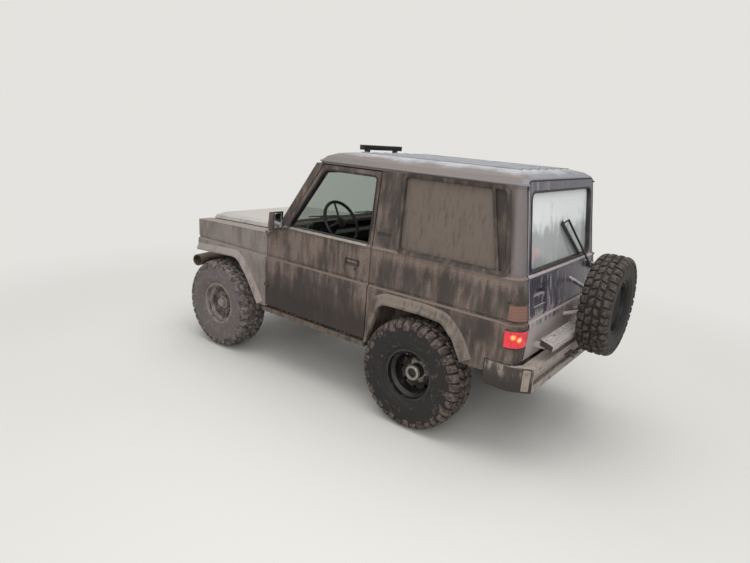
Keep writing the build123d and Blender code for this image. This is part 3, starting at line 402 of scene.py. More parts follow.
rusty_pipe = muddied(
    "rusted_mild_steel", "#4a3428 #5c4030 #4d4038 #5a4c42 #66584c #7d6e61", share=0.45,
    rough=(0.7, 0.95), patch_mm=40)
black_plastic = muddied(
    "moulded_black_plastic", "#1a1918 #222120 #2a2725 #35312d #4a423a #5c5248", share=0.12,
    cover=0.3, rough=(0.5, 0.85), depth_mm=0.3)
black_rubber = muddied(
    "extruded_black_rubber", "#191817 #201e1d #2a2623 #3a342f #50473f #655a50", share=0.22,
    cover=0.5, rough=(0.6, 0.9), patch_mm=60, depth_mm=0.3)
muddy_rubber = muddied(
    "extruded_rubber_under_clay", "#231f1c #2c2724 #332c28 #403832 #544a41 #66594f", share=0.28,
    cover=0.9, rough=(0.7, 0.9), patch_mm=60, depth_mm=0.4)
finishes.update({
    bumper_steel: "rear_bumper",
    frame_steel: "front_bumper chassis_frame floor_tub rock_sliders fuel_tank radiator",
    cast_iron: "front_axle rear_axle knuckle_left knuckle_right engine_block gearbox leaf_springs",
    worn_steel: "tie_rod dampers propshafts",
    rusty_pipe: "exhaust",
    black_plastic: "roof_light_bar dashboard steering_wheel rear_wiper",
})

# %% [markdown]
# Steel wheels are pressed and painted. The rear pair is black and wet looking, with
# pale tide lines round the barrel, and the front pair is caked pale; the spare has sat
# out of the spray.

# %% Wheel finishes
axle_height = middle("tyre_rear_left").z
rear_axle_y = middle("tyre_rear_left").y
rim_black = muddied(
    "pressed_steel_black", "#121110 #1a1817 #1c1917 #272320 #3f3831 #5a5148", share=0.12,
    cover=0.5, rough=(0.42, 0.85), patch_mm=50, rings=(rear_axle_y, axle_height))
rim_spare = muddied(
    "pressed_steel_spare", "#141312 #1c1a19 #1f1c1a #2a2623 #4a423a #5d544b", share=0.15,
    cover=0.5, rough=(0.45, 0.85), patch_mm=50)
rim_pale = muddied(
    "pressed_steel_pale", "#433b38 #514845 #574d49 #6d625e #82766f #a1958f", share=0.42,
    rough=(0.5, 0.9), patch_mm=45, rings=(front_axle_y, axle_height))
finishes[rim_black] = "rim_rear_left rim_rear_right"
finishes[rim_spare] = "spare_rim"
finishes[rim_pale] = "rim_front_left rim_front_right"


# %% [markdown]
# Window glass is soda lime float glass, six millimetres thick. The side panes are
# hidden behind a brown film that is thin enough to glow a little, the rear window carries
# a film painted near white and thicker towards the top, partly smears and partly painted
# light that stands in for the bright sky seen through the vehicle, and the windscreen has
# been wiped. Clear glass lets light through as transparency with a weak mirror on top,
# which renders faster and cleaner than true refraction through thin panes.

# %% Glass
smear_mm = 120


def filmed_glass(name, film, cover, streak=0.5, run_mm=45, fade=None):
    """Clear pane with a film of mud over a share of it.

    The mirror's share is 0.04 + 0.96 times facing to the power 5, which is the same from
    both sides of a face. fade, two heights and a gain, clears the film below the first of
    them and thickens it above the second.
    """
    made, tree, place = blank_material(name)
    patches = noise(tree, place, smear_mm, 6.0, 0.65)
    runs = noise(tree, pressed(tree, place, 1, 1, 0.2), run_mm, 4.0, 0.5)
    specks = noise(tree, place, 6, 2.0, 0.6)
    terms = [(patches, 1 - streak), (runs, streak), (specks, 0.12)]
    if fade:
        height = add_node(tree, "SeparateXYZ", {0: place}).outputs[2]
        terms.append((ramp(tree, height, fade[0], fade[1], -0.14, fade[2]), 1.0))
    level = weigh(tree, *terms)
    amount = ramp(tree, level, 0.72 - 0.5 * cover, 1.02 - 0.5 * cover, 0.12 + 0.6 * cover, 0.97)
    clear = add_node(tree, "BsdfTransparent", {"Color": linear("#dfe6e2")}).outputs[0]
    mirror = add_node(tree, "BsdfGlossy", {"Color": (1, 1, 1, 1), "Roughness": 0.05}).outputs[0]
    facing = add_node(tree, "LayerWeight", {"Blend": 0.5}).outputs["Facing"]
    gloss = reckon(tree, "MULTIPLY_ADD", reckon(tree, "POWER", facing, 5.0), 0.96, 0.04)
    pane = mix_shaders(tree, gloss, clear, mirror)
    silt = mix_colours(tree, ramp(tree, level, 0.38, 0.62), *film)
    show(tree, mix_shaders(tree, amount, pane, coat(tree, silt, 0.6, level, 0.3, 0.5)))
    return made


side_pane = filmed_glass("float_glass_brown_film", ("#574c44", "#665a51"), 1.0, 0.6, 22)
# The rear pane's near-white film, thickened above 1.70 m, is partly smears and partly painted
# light of the bright sky seen through the vehicle.
rear_pane = filmed_glass("float_glass_smears_painted_bright", ("#dcdee0", "#f0f1f2"), 0.5, 0.45,
                         fade=(1.46, 1.70, 0.24))
screen_pane = filmed_glass("float_glass_wiped", ("#7d776d", "#989286"), 0.08)
finishes[side_pane] = "side_glass"
finishes[rear_pane] = "rear_door_glass"
finishes[screen_pane] = "windscreen_glass door_glass_right"


# %% [markdown]
# The tail lamps are moulded acrylic in two colours, amber above and red below, and the
# left red one is lit. A lit lens glows evenly with hotter spots in front of the bulbs.
# Height alone tells amber from red, because the two bands never overlap.

# %% Lamp lenses
lens_split_z = 0.992
bulb_places = [(0.789, 2.949, 0.921), (0.758, 2.981, 0.906)]

lens_plastic, tree, place = blank_material("moulded_acrylic_lens")
along = add_node(tree, "SeparateXYZ", {0: place}).outputs
is_amber = ramp(tree, along[2], lens_split_z - 0.01, lens_split_z + 0.01)
dirt = ramp(tree, noise(tree, pressed(tree, place, 1, 1, 0.2), 9), 0.35, 0.7)
amber = mix_colours(tree, dirt, "#835746", "#6f5b50")
red = mix_colours(tree, dirt, "#b8242c", "#8f3033")
spots = 0.0
for bulb_x, bulb_station, bulb_z in bulb_places:
    offset = add_node(tree, "VectorMath", {0: place, 1: (bulb_x, at(bulb_station), bulb_z)},
                      operation="DISTANCE").outputs["Value"]
    spots = weigh(tree, (ramp(tree, offset, 0.006, 0.026, 1.0, 0.0), 1.0), (spots, 1.0))
is_red = reckon(tree, "SUBTRACT", 1.0, is_amber)
lit_lens = reckon(tree, "MULTIPLY", ramp(tree, along[0], 0.0, 0.1), is_red)
brightness = weigh(tree, (spots, 0.9), (dirt, -0.30), (lit_lens, 0.60))
glow = {"Emission Color": mix_colours(tree, spots, "#e8303f", "#ffb25e"),
        "Emission Strength": reckon(tree, "MULTIPLY", brightness, lit_lens)}
show(tree, coat(tree, mix_colours(tree, is_amber, red, amber), 0.28, more=glow))
finishes[lens_plastic] = "tail_lamps"

head_lens = muddied(
    "moulded_lamp_glass", "#c9ccc9 #d8dad6 #a39c92 #b5aea4 #948a7e #a89e92", share=0.25,
    cover=0.4, rough=(0.15, 0.8), depth_mm=0.2)
finishes[head_lens] = "front_lamps"

for finish, nodes in finishes.items():
    for node in nodes.split():
        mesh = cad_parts[node].data
        mesh.materials.clear()
        mesh.materials.append(finish)
print("finishes", len(finishes))


# %% [markdown]
# New pieces are grids of points. A grid is bent into a ring, a tube or a block by
# closing it one way or both, and its open ends can be capped. One function makes the
# quads between neighbours, and another turns any number of such shells into one object
# with its finish and its body, with normals that point outwards.

# %% Mesh helpers
def shell(points, ring_rows=False, ring_columns=False, caps=False):
    """Quads between the neighbours of a grid (copies, rows, columns, 3).

    ring_rows joins the last row to the first, ring_columns the last column to the
    first, and caps closes the first and the last row with one face each.
    """
    points = np.asarray(points, float)
    points = points.reshape((-1,) + points.shape[-3:])
    copies, rows, columns = points.shape[:3]
    index = np.arange(copies * rows * columns).reshape(copies, rows, columns)
    ends = np.concatenate([index[:, 0], index[:, -1]]) if caps else np.zeros((0, columns), int)
    if ring_rows:
        index = np.concatenate([index, index[:, :1]], 1)
    if ring_columns:
        index = np.concatenate([index, index[:, :, :1]], 2)
    corners = (index[:, :-1, :-1], index[:, 1:, :-1], index[:, 1:, 1:], index[:, :-1, 1:])
    return points.reshape(-1, 3), np.stack(corners, -1).reshape(-1, 4), ends


def spread(*coordinates):
    """Points of a grid from coordinates that vary along its different directions."""
    return np.stack(np.broadcast_arrays(*coordinates), -1)


def round_turn(count):
    """Angles at even distances round a full turn."""
    return np.linspace(0, 2 * np.pi, count, endpoint=False)


def piece(name, shells, finish, body="body", sharp=35, marks=None):
    """One object from several shells; faces that meet at more than sharp stay creased."""
    places = np.concatenate([shell_points for shell_points, _, _ in shells])
    faces, start = [], 0
    for shell_points, quads, ends in shells:
        faces += (quads + start).tolist() + (ends + start).tolist()
        start += len(shell_points)
    mesh = bpy.data.meshes.new(name)
    mesh.from_pydata(places.tolist(), [], faces)
    if marks is not None:
        mark = mesh.attributes.new("mark", "FLOAT", "POINT")
        mark.data.foreach_set("value", marks.astype(np.float32))
    tidy = bmesh.new()
    tidy.from_mesh(mesh)
    bmesh.ops.remove_doubles(tidy, verts=tidy.verts, dist=1e-6)
    bmesh.ops.recalc_face_normals(tidy, faces=tidy.faces)
    tidy.to_mesh(mesh)
    tidy.free()
    mesh.materials.append(finish)
    mesh.polygons.foreach_set("use_smooth", np.ones(len(mesh.polygons), bool))
    mesh.set_sharp_from_angle(angle=radians(sharp))
    made = bpy.data.objects.new(name, mesh)
    bpy.context.scene.collection.objects.link(made)
    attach(made, body)
    return made


# %% [markdown]
# Mud tyres. The carcass is a ring whose section is a superellipse: boxy at the shoulder
# and rounder at the bead. The tread is made of separate blocks, because sharp blocks on
# a displaced ring would need a grid of millimetres. Each block is a short tube whose
# cross-section has six points and which runs across the tread, over the shoulder and a
# little way down the side wall. A pitch of the tread holds four: a long lug as in the
# CAD model, split near the middle, and a shorter pair in the gap behind it.

# %% Tyre section
belly_share = 0.5
crown_power = 5.0
bead_power = 2.1
bead_half = 0.098
section_steps = 72
tread_height = 0.0147


def tyre_section(half, crown, bead):
    """Half section from crown to bead: x, radius, and the outward normal.

    A superellipse: x is half times cos to the power 2/n and the radius is the belly's
    plus the reach times sin to the power 2/n, with one n above the belly and one below,
    where x ends at the bead's place on the rim and not in the middle.
    """
    belly = bead + belly_share * (crown - bead)
    turn = np.linspace(np.pi / 2, -np.pi / 2, section_steps)
    above = turn >= 0
    power = np.where(above, crown_power, bead_power)
    reach = np.where(above, crown - belly, belly - bead)
    inner = np.where(above, 0.0, min(bead_half, half - 0.03))
    x = inner + (half - inner) * np.abs(np.cos(turn)) ** (2 / power)
    radius = belly + reach * np.sign(turn) * np.abs(np.sin(turn)) ** (2 / power)
    x[0] = 0.0
    run = np.concatenate([[0], np.cumsum(np.hypot(np.diff(x), np.diff(radius)))])
    even = np.linspace(0, run[-1], section_steps)
    x, radius = np.interp(even, run, x), np.interp(even, run, radius)
    across, down = np.gradient(x, even), np.gradient(radius, even)
    length = np.hypot(across, down)
    return even, x, radius, -down / length, across / length


# %% [markdown]
# The block table gives each block of a pitch by where it starts and ends across the
# tread, measured from the middle as a share of the way to the tread's edge, by where it
# starts and ends along the pitch, and by how far it slants. Values above 1 run over the
# shoulder.

# %% Tread blocks
block_table = [
    # inner, outer (shares of the tread's half width), start, end (shares of the pitch), slant
    (0.05, 0.46, 0.06, 0.50, 0.16),
    (0.56, 1.42, 0.02, 0.44, 0.05),
    (0.12, 0.52, 0.60, 0.96, 0.14),
    (0.64, 1.26, 0.55, 0.93, 0.05),
]
block_rows = 8
lug_pitches = 18
side_saving = 0.45       # how much lower a block stands where it faces sideways
side_reach = 0.0075      # what it still stands out beyond the carcass there


def place_on_wheel(x, radius, turn):
    """Points from across, radius and turn about the x axis."""
    return spread(x, radius * np.cos(turn), radius * np.sin(turn))


def tread_blocks(section, hand, edge):
    """All blocks on one side of a tyre, as tubes across the tread."""
    run, x, radius, out_x, out_radius = section
    pitch = 2 * np.pi / lug_pitches
    shells = []
    for inner, outer, start, end, slant in block_table:
        along = np.linspace(inner, outer, block_rows) * edge
        ease = np.array([0.6] + [1.0] * (block_rows - 2) + [0.35])
        turn_profile = np.array([start, start + 0.01, start + 0.05, end - 0.05, end - 0.01, end])
        height_profile = np.array([-0.3, 0.8, 1.0, 1.0, 0.8, -0.3]) * tread_height
        first = (np.arange(lug_pitches) + (0.5 if hand > 0 else 0.0)) * pitch
        lean = slant * np.linspace(0, 1, block_rows)
        turn = first[:, None, None] + pitch * (turn_profile[None, None] + lean[None, :, None])
        ease = ease * (1 - side_saving * np.interp(along, run, np.abs(out_x)))
        lift = height_profile[None, :] * ease[:, None]
        block_x, block_radius, to_x, to_radius = (
            np.interp(along, run, values)[:, None] for values in (x, radius, out_x, out_radius))
        block_x, block_radius = block_x + to_x * lift, block_radius + to_radius * lift
        shells.append(shell(place_on_wheel(hand * block_x[None], block_radius[None], turn),
                            ring_columns=True, caps=True))
    return shells


# %% [markdown]
# Tyre rubber is carbon black in natural rubber: nearly black and matt when clean. Mud
# dries on the blocks and in the grooves first and stays off the flexing side wall. The
# mesh carries a mark, 1 on the blocks and 0 on the carcass, and the finish reads it.

# %% Tyre rubber
def tyre_rubber(name, wall, block, clay, wall_share):
    """Rubber with mud on its blocks and a share of mud on its walls."""
    made, tree, place = blank_material(name)
    mark = add_node(tree, "Attribute", attribute_name="mark").outputs["Fac"]
    clumps = noise(tree, place, 34, 5.0, 0.65)
    grit = noise(tree, place, 6, 3.0)
    level = weigh(tree, (clumps, 1.0), (grit, 0.25), (mark, 0.20 - 0.3 * wall_share))
    mud = ramp(tree, level, 0.74 - 0.3 * wall_share, 0.92 - 0.3 * wall_share)
    silt = mix_colours(tree, ramp(tree, grit, 0.35, 0.65), *clay)
    colour = mix_colours(tree, mud, mix_colours(tree, mark, wall, block), silt)
    relief = weigh(tree, (mud, 0.6), (grit, 0.4))
    show(tree, coat(tree, colour, mix_values(tree, mud, 0.72, 0.95), relief, depth_mm=1.6))
    return made


rear_rubber = tyre_rubber("natural_rubber_dark", "#181514", "#2e2725", ("#4f423c", "#74645c"),
                          0.15)
front_rubber = tyre_rubber("natural_rubber_caked", "#5f5755", "#38322f", ("#6e6563", "#857a77"),
                           0.38)
spare_rubber = tyre_rubber("natural_rubber_spare", "#151312", "#221e1c", ("#463b35", "#60534c"),
                           -0.15)

# %% Tyres
wall_rings = [
    # share of the way from crown to bead, height in metres
    (0.52, 0.0022), (0.80, 0.0030), (0.90, 0.0022),
]
tyre_table = [
    # node, body, finish
    ("tyre_front_left", "wheel_front_left", front_rubber),
    ("tyre_front_right", "wheel_front_right", front_rubber),
    ("tyre_rear_left", "wheel_rear_left", rear_rubber),
    ("tyre_rear_right", "wheel_rear_right", rear_rubber),
    ("spare_tyre", "rear_door", spare_rubber),
]
rim_bead = 0.1965
ring_count = 120
wall_ring_width = 0.012      # as a share of the way from crown to bead
tread_edge_share = 0.86      # of the half width, where the tread ends


def make_tyre(node, body, finish):
    """Carcass and blocks in place of one CAD tyre."""
    low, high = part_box(node)
    centre, size = (low + high) / 2, high - low
    lies_along_y = size.y < size.x
    half = min(size.x, size.y) / 2 - side_reach
    crown = size.z / 2 - tread_height
    section = tyre_section(half, crown, rim_bead)
    run, x, radius, out_x, out_radius = section
    rise = sum(peak * np.exp(-((run / run[-1] - share) / wall_ring_width) ** 2)
               for share, peak in wall_rings)
    x, radius = x + out_x * rise, radius + out_radius * rise
    ring_x = np.concatenate([-x[::-1], x[1:]])
    ring_r = np.concatenate([radius[::-1], radius[1:]])
    carcass = place_on_wheel(ring_x[:, None], ring_r[:, None], round_turn(ring_count)[None, :])
    tread_edge = run[np.argmax(x > tread_edge_share * half)]
    shells = [shell(carcass, ring_rows=True, ring_columns=True)]
    for hand in (-1, 1):
        shells += tread_blocks(section, hand, tread_edge)
    if lies_along_y:
        quarter = np.array(Matrix.Rotation(radians(90), 3, "Z"))
        shells = [(points @ quarter.T, quads, ends) for points, quads, ends in shells]
    shells = [(points + np.array(centre), quads, ends) for points, quads, ends in shells]
    counts = [len(points) for points, _, _ in shells]
    marks = np.repeat([0.0] + [1.0] * (len(shells) - 1), counts)
    made = piece(node + "_treaded", shells, finish, body, 40, marks)
    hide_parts(node)
    return made


for node, body, finish in tyre_table:
    print(node, "faces", len(make_tyre(node, body, finish).data.polygons))

# %% [markdown]
# Most of what makes a vehicle look real is thin: seals, frames, lips and seams. Each is a
# small profile carried along an outline, and it has to lie on the body's own skin. The
# skin is known from a few levels, so a point on it needs only its station and height,
# and the half width comes by interpolation. The same levels give the rear face.

# %% Paths on the skin
panel_levels = np.array([
    # height, half width, station of the rear face
    (0.548, 0.785, 2.970), (0.964, 0.793, 2.990), (0.990, 0.789, 2.987), (1.002, 0.773, 2.974),
    (1.014, 0.771, 2.972), (1.022, 0.779, 2.980), (1.269, 0.777, 2.938), (1.285, 0.786, 2.944),
    (1.299, 0.767, 2.926), (1.846, 0.713, 2.852), (1.892, 0.705, 2.846),
])
corner_radius = 0.085
nose_taper = 0.020
taper_stations = (-0.412, 0.640)


def panel_at(height):
    """Half width and station of the rear face at a height."""
    heights, halves, rears = panel_levels.T
    return np.interp(height, heights, halves), np.interp(height, heights, rears)


def side_skin(hand):
    """Points on a body side: x is the half width at the height, less the nose's taper."""
    def place(station, height, lift):
        half, _ = panel_at(height)
        taper = np.interp(station, taper_stations, (nose_taper, 0.0))
        return spread(hand * (half - taper + lift), at(station), height)
    return place


def back_skin(x, height, lift):
    """Points on the rear face, which goes round its corners in a quarter circle."""
    half, rear = panel_at(height)
    past = np.clip(np.abs(x) - half + corner_radius, 0, corner_radius)
    rear = rear - corner_radius + np.sqrt(corner_radius ** 2 - past ** 2)
    return spread(x, at(rear + lift), height)


def rounded(corners, radius, closed=True, steps=7):
    """Each corner becomes a quadratic curve that starts and ends radius away from it."""
    corners = np.asarray(corners, float)
    before, after = np.roll(corners, 1, 0) - corners, np.roll(corners, -1, 0) - corners
    start = corners + before / np.linalg.norm(before, axis=1, keepdims=True) * radius
    end = corners + after / np.linalg.norm(after, axis=1, keepdims=True) * radius
    share = np.linspace(0, 1, steps)[None, :, None]
    curve = (1 - share) ** 2 * start[:, None] + 2 * share * (1 - share) * corners[:, None]
    curve = curve + share ** 2 * end[:, None]
    if closed:
        return curve.reshape(-1, corners.shape[1])
    inner = curve[1:-1].reshape(-1, corners.shape[1])
    return np.concatenate([corners[:1], inner, corners[-1:]])


def evened(path, spacing, closed):
    """The same path with points at an even distance along it."""
    if closed:
        path = np.concatenate([path, path[:1]])
    run = np.concatenate([[0], np.cumsum(np.linalg.norm(np.diff(path, axis=0), axis=1))])
    marks = np.linspace(0, run[-1], max(int(run[-1] / spacing), 3) + 1)
    even = np.stack([np.interp(marks, run, path[:, axis]) for axis in range(path.shape[1])], -1)
    return even[:-1] if closed else even


def carry(path, profile, skin, closed=True, spacing=0.014):
    """Profile carried along a path: its first number goes left, its second off the skin."""
    path = evened(np.asarray(path, float), spacing, closed)
    profile = np.asarray(profile, float)
    step = np.roll(path, -1, 0) - np.roll(path, 1, 0) if closed else np.gradient(path, axis=0)
    left = np.stack([-step[:, 1], step[:, 0]], -1) / np.linalg.norm(step, axis=1, keepdims=True)
    flat = path[:, None] + left[:, None] * profile[None, :, :1]
    lift = np.broadcast_to(profile[:, 1], flat.shape[:2])
    points = skin(flat[..., 0], flat[..., 1], lift)
    return shell(points, ring_rows=closed, ring_columns=True, caps=not closed)


def turned(profile, origin, axis, steps=36, closed=False):
    """Each profile point (along, radius) goes round the axis through the origin."""
    profile = np.asarray(profile, float)
    axis = np.asarray(axis, float) / np.linalg.norm(axis)
    side = np.cross(axis, (0, 0, 1) if abs(axis[2]) < 0.9 else (1, 0, 0))
    side = side / np.linalg.norm(side)
    other = np.cross(axis, side)
    turn = round_turn(steps)
    spoke = np.cos(turn)[:, None] * side + np.sin(turn)[:, None] * other
    points = np.asarray(origin) + profile[:, None, :1] * axis + profile[:, None, 1:] * spoke[None]
    return shell(points, ring_rows=closed, ring_columns=True, caps=not closed)


upward = np.array([0, 0, 1.0])
to_rear, to_front, to_top = ((-1, 0, 0), upward), ((1, 0, 0), upward), ((1, 0, 0), (0, 1, 0))


def plate(outline, origins, facing, thickness, bevel=0.002):
    """Flat outline lifted off each origin, its top drawn in towards the middle by the bevel.

    facing is the directions of its width and height, and it rises along their cross
    product.
    """
    outline = np.asarray(outline, float)
    across, up = np.asarray(facing, float)
    spokes = outline - outline.mean(0)
    inward = spokes / np.linalg.norm(spokes, axis=1, keepdims=True)
    rings = []
    for lift, draw in ((0, 0), (thickness - bevel, 0), (thickness, bevel)):
        ring = outline - inward * draw
        rings.append(ring[:, :1] * across + ring[:, 1:] * up + lift * np.cross(across, up))
    places = np.atleast_2d(origins)[:, None, None] + np.stack(rings)[None]
    return shell(places, ring_columns=True, caps=True)


def bar(points, radius, bend=0.03, steps=10):
    """Round bar along a line of points, whose corners are bent."""
    path = np.asarray(points, float)
    if len(path) > 2:
        path = rounded(path, bend, closed=False)
    ahead = np.gradient(path, axis=0)
    ahead = ahead / np.linalg.norm(ahead, axis=1, keepdims=True)
    side = np.cross(ahead, upward if np.abs(ahead[:, 2]).max() < 0.9 else (1.0, 0.1, 0))
    side = side / np.linalg.norm(side, axis=1, keepdims=True)
    other = np.cross(ahead, side)
    turn = round_turn(steps)[None, :, None]
    ring = np.cos(turn) * side[:, None] + np.sin(turn) * other[:, None]
    return shell(path[:, None] + radius * ring, ring_columns=True, caps=True)


def polygon(sides, radius, lobe=0.0, lobes=1):
    """Round outline with sides points, whose radius may swell into lobes."""
    turn = round_turn(sides)
    reach = radius + lobe * np.cos(lobes * turn)
    return spread(reach * np.cos(turn), reach * np.sin(turn))


def rectangle(width, height, radius):
    """Outline of a rectangle about the origin, with rounded corners."""
    corners = np.array([(-1, -1), (1, -1), (1, 1), (-1, 1)]) * (width / 2, height / 2)
    return rounded(corners, radius, steps=5)


print("skin at the belt", side_skin(1)(1.5, 1.2, 0.0).round(3))

# %% [markdown]
# Wheel arch flares. On the real body they are pressed out of the panel: a band as wide as
# a hand that slopes outwards to a rolled edge, which catches light and holds pale mud.
# The band is one profile along the edge of the opening. At the door it is cut short by
# pushing its points back behind the gap.

# %% Arch flares
flare_table = [
    # end, limits of its stations, bend of the corners, width, finish, edge of the opening
    ("rear", (1.767, 2.99), 0.035, 0.082, flare_enamel,
     [(1.785, 0.552), (1.872, 0.860), (1.937, 0.896), (2.251, 0.902), (2.432, 0.887),
      (2.530, 0.796), (2.607, 0.652)]),
    ("front", (-0.352, 0.628), 0.07, 0.062, front_flare,
     [(-0.350, 0.8885), (0.253, 0.925), (0.400, 0.766), (0.545, 0.552)]),
]
proud = 0.024


def flare_profile(width):
    """Rolled lip at the opening, then a slope that meets the panel at the flare's width."""
    return [(-0.006, -0.020), (-0.008, proud - 0.008), (-0.004, proud - 0.001), (0.004, proud),
            (0.014, proud - 0.003), (0.02, proud - 0.006), (width * 0.6, proud * 0.35),
            (width - 0.004, 0.001), (width, -0.003), (width * 0.5, -0.008)]


def cut_short(skin, limits):
    """The same skin, with stations kept between two limits."""
    return lambda station, height, lift: skin(np.clip(station, *limits), height, lift)


for hand, side in both_sides:
    for end, limits, bend, width, finish, edge in flare_table:
        flare = carry(rounded(edge, bend, closed=False), flare_profile(width),
                      cut_short(side_skin(hand), limits), closed=False)
        piece(f"arch_flare_{end}_{side}", [flare], finish, "body", sharp=50)
print("arch flares", 2 * len(flare_table))

# %% [markdown]
# Glazing seals are extruded rubber. Each closes the step between panel and pane, so its
# profile reaches from the panel down to the glass. The rear side window is split by an
# upright, behind which the pane is blacked out, and its corners are round, which the
# seal's own width makes up for over the square opening.

# %% Side window seals
side_opening = [(1.985, 1.308), (1.960, 1.832), (2.745, 1.832), (2.838, 1.308)]
door_opening = [(0.872, 1.301), (1.207, 1.798), (1.722, 1.798), (1.722, 1.301)]
deep_seal = [(-0.009, -0.031), (0.004, -0.031), (0.012, -0.007), (0.021, -0.006), (0.021, 0.001),
             (0.014, 0.004), (0.004, 0.002), (-0.006, -0.002), (-0.009, -0.008)]
door_seal = [(-0.005, -0.050), (0.003, -0.050), (0.003, -0.003), (0.009, -0.002), (0.010, 0.003),
             (0.002, 0.004), (-0.005, 0.001)]
upright = [(2.766, 1.312), (2.644, 1.829)]
upright_profile = [(-0.011, -0.026), (-0.011, -0.006), (-0.007, -0.002), (0.007, -0.002),
                   (0.011, -0.006), (0.011, -0.026)]
blind_levels = np.linspace(1.312, 1.828, 12)
blind_front = np.interp(blind_levels, (1.312, 1.829), (2.770, 2.648))
blind_rear = np.interp(blind_levels, (1.308, 1.832), (2.834, 2.742))
blind_lifts = np.array([-0.0225, -0.0225, -0.0275, -0.0275])

for hand, side in both_sides:
    skin = side_skin(hand)
    seal = carry(rounded(side_opening, 0.042), deep_seal, skin)
    post = carry(upright, upright_profile, skin, closed=False)
    piece(f"side_window_seal_{side}", [seal, post], muddy_rubber)
    edges = np.stack([blind_front, blind_rear, blind_rear, blind_front], -1)
    blind = shell(skin(edges, blind_levels[:, None], blind_lifts), ring_columns=True, caps=True)
    piece(f"side_window_blind_{side}", [blind], muddy_rubber)
    seal = carry(rounded(door_opening, 0.03), door_seal, skin)
    piece(f"door_window_seal_{side}", [seal], black_rubber, f"door_{side}")

# %% [markdown]
# A strip of bright metal lies along the foot of the door window. It wipes the glass, and
# the mud on it is always rubbed off by an elbow, so it stays the lightest line there.

# %% Window sill strips and handle rims
wiped_steel = muddied(
    "drawn_stainless_steel", "#8f8a84 #a19c96 #8a8178 #978e84 #8d8175 #9f9488", share=0.3,
    cover=0.5, metallic=0.6, rough=(0.35, 0.8), patch_mm=40)
sill_line = [(0.905, 1.2925), (1.716, 1.2925)]
sill_profile = [(-0.007, -0.003), (-0.007, 0.004), (-0.004, 0.007), (0.005, 0.009),
                (0.009, 0.006), (0.009, -0.003)]
handle_rim = [(1.516, 1.116), (1.516, 1.162), (1.654, 1.162), (1.654, 1.116)]
rim_profile = [(-0.003, -0.004), (-0.003, 0.001), (0.0, 0.002), (0.004, 0.001), (0.004, -0.004)]
lock_profile = [(0, 0.013), (0.004, 0.013), (0.005, 0.011), (0.004, 0.008)]
for hand, side in both_sides:
    skin, door = side_skin(hand), f"door_{side}"
    strip = carry(sill_line, sill_profile, skin, closed=False)
    piece(f"window_sill_strip_{side}", [strip], wiped_steel, door)
    rim = carry(rounded(handle_rim, 0.008), rim_profile, skin, spacing=0.008)
    lock = turned(lock_profile, skin(1.622, 1.092, -0.002), (hand, 0, 0), 20)
    piece(f"handle_rim_{side}", [rim, lock], black_plastic, door)
print("seals and strips on both sides")

# %% [markdown]
# The windscreen's seal lies in the frame's own sloping plane, so it gets a skin of its
# own: a point is so far across, so far up the slope and so far off it.

# %% Windscreen seal
slope = radians(34)
foot_height = 1.290
foot_station = 1.107 - (1.842 - foot_height) * np.tan(slope)
slope_length = (1.846 - foot_height) / np.cos(slope)
pane_top = slope_length - 0.044
pane_corners = [(-0.703, 0.030), (-0.659, pane_top), (0.659, pane_top), (0.703, 0.030)]


def screen_skin(across, climb, lift):
    """The plane rises by cos and goes back by sin of its slope; lift goes forward and up."""
    station = foot_station + climb * np.sin(slope) - lift * np.cos(slope)
    height = foot_height + climb * np.cos(slope) + lift * np.sin(slope)
    return spread(across, at(station), height)


screen_seal = [(-0.012, -0.024), (0.002, -0.024), (0.004, -0.001), (0.012, 0.0), (0.012, 0.004),
               (0.002, 0.005), (-0.010, 0.0), (-0.012, -0.006)]
seal = carry(rounded(pane_corners, 0.06), screen_seal, screen_skin)
piece("windscreen_seal", [seal], black_rubber)

boss_profile = [(0, 0.016), (0.014, 0.016), (0.018, 0.011), (0.018, 0.0)]
wiper_shells = []
for pivot, tip in ((-0.36, -0.62), (0.30, 0.02)):
    boss_place = screen_skin(pivot, -0.01, 0.004)
    arm = screen_skin(np.array([pivot, tip + 0.16, tip + 0.2]), np.array([-0.01, 0.05, 0.06]),
                      np.array([0.014, 0.012, 0.006]))
    blade = screen_skin(np.array([tip, tip + 0.42]), np.array([0.052, 0.075]), -0.012)
    wiper_shells += [turned(boss_profile, boss_place, (0, -np.cos(slope), np.sin(slope)), 16),
                     bar(arm, 0.005, 0.02), bar(blade, 0.006)]
piece("windscreen_wipers", wiper_shells, black_plastic)
print("windscreen seal and two wipers")

# %% [markdown]
# The rear door's window sits in a broad rubber seal with round corners. Above the door a
# crowned rubber closes its gap under the roof and down the lock side, and along the left
# edge the paint is worn to a pale line where the door is gripped.

# %% Rear window seal, gap seal and worn edge
rear_opening = [(-0.594, 1.307), (-0.594, 1.822), (0.594, 1.822), (0.594, 1.307)]
rear_seal = [(-0.010, -0.030), (0.002, -0.030), (0.003, -0.002), (0.007, -0.001), (0.008, 0.002),
             (0.005, 0.005), (0.0, 0.005), (-0.008, 0.001), (-0.010, -0.006)]
seal = carry(rounded(rear_opening, 0.062), rear_seal, back_skin)
piece("rear_window_seal", [seal], black_rubber, "rear_door")

gap_edge = [(-0.655, 1.330), (-0.655, 1.891), (0.655, 1.891), (0.655, 0.745)]
gap_rubber = [(-0.003, -0.012), (-0.004, -0.002), (-0.001, 0.003), (0.004, 0.002), (0.005, -0.012)]
gap_seal = carry(rounded(gap_edge, 0.07, closed=False), gap_rubber, back_skin, closed=False)
piece("rear_door_gap_seal", [gap_seal], black_rubber)

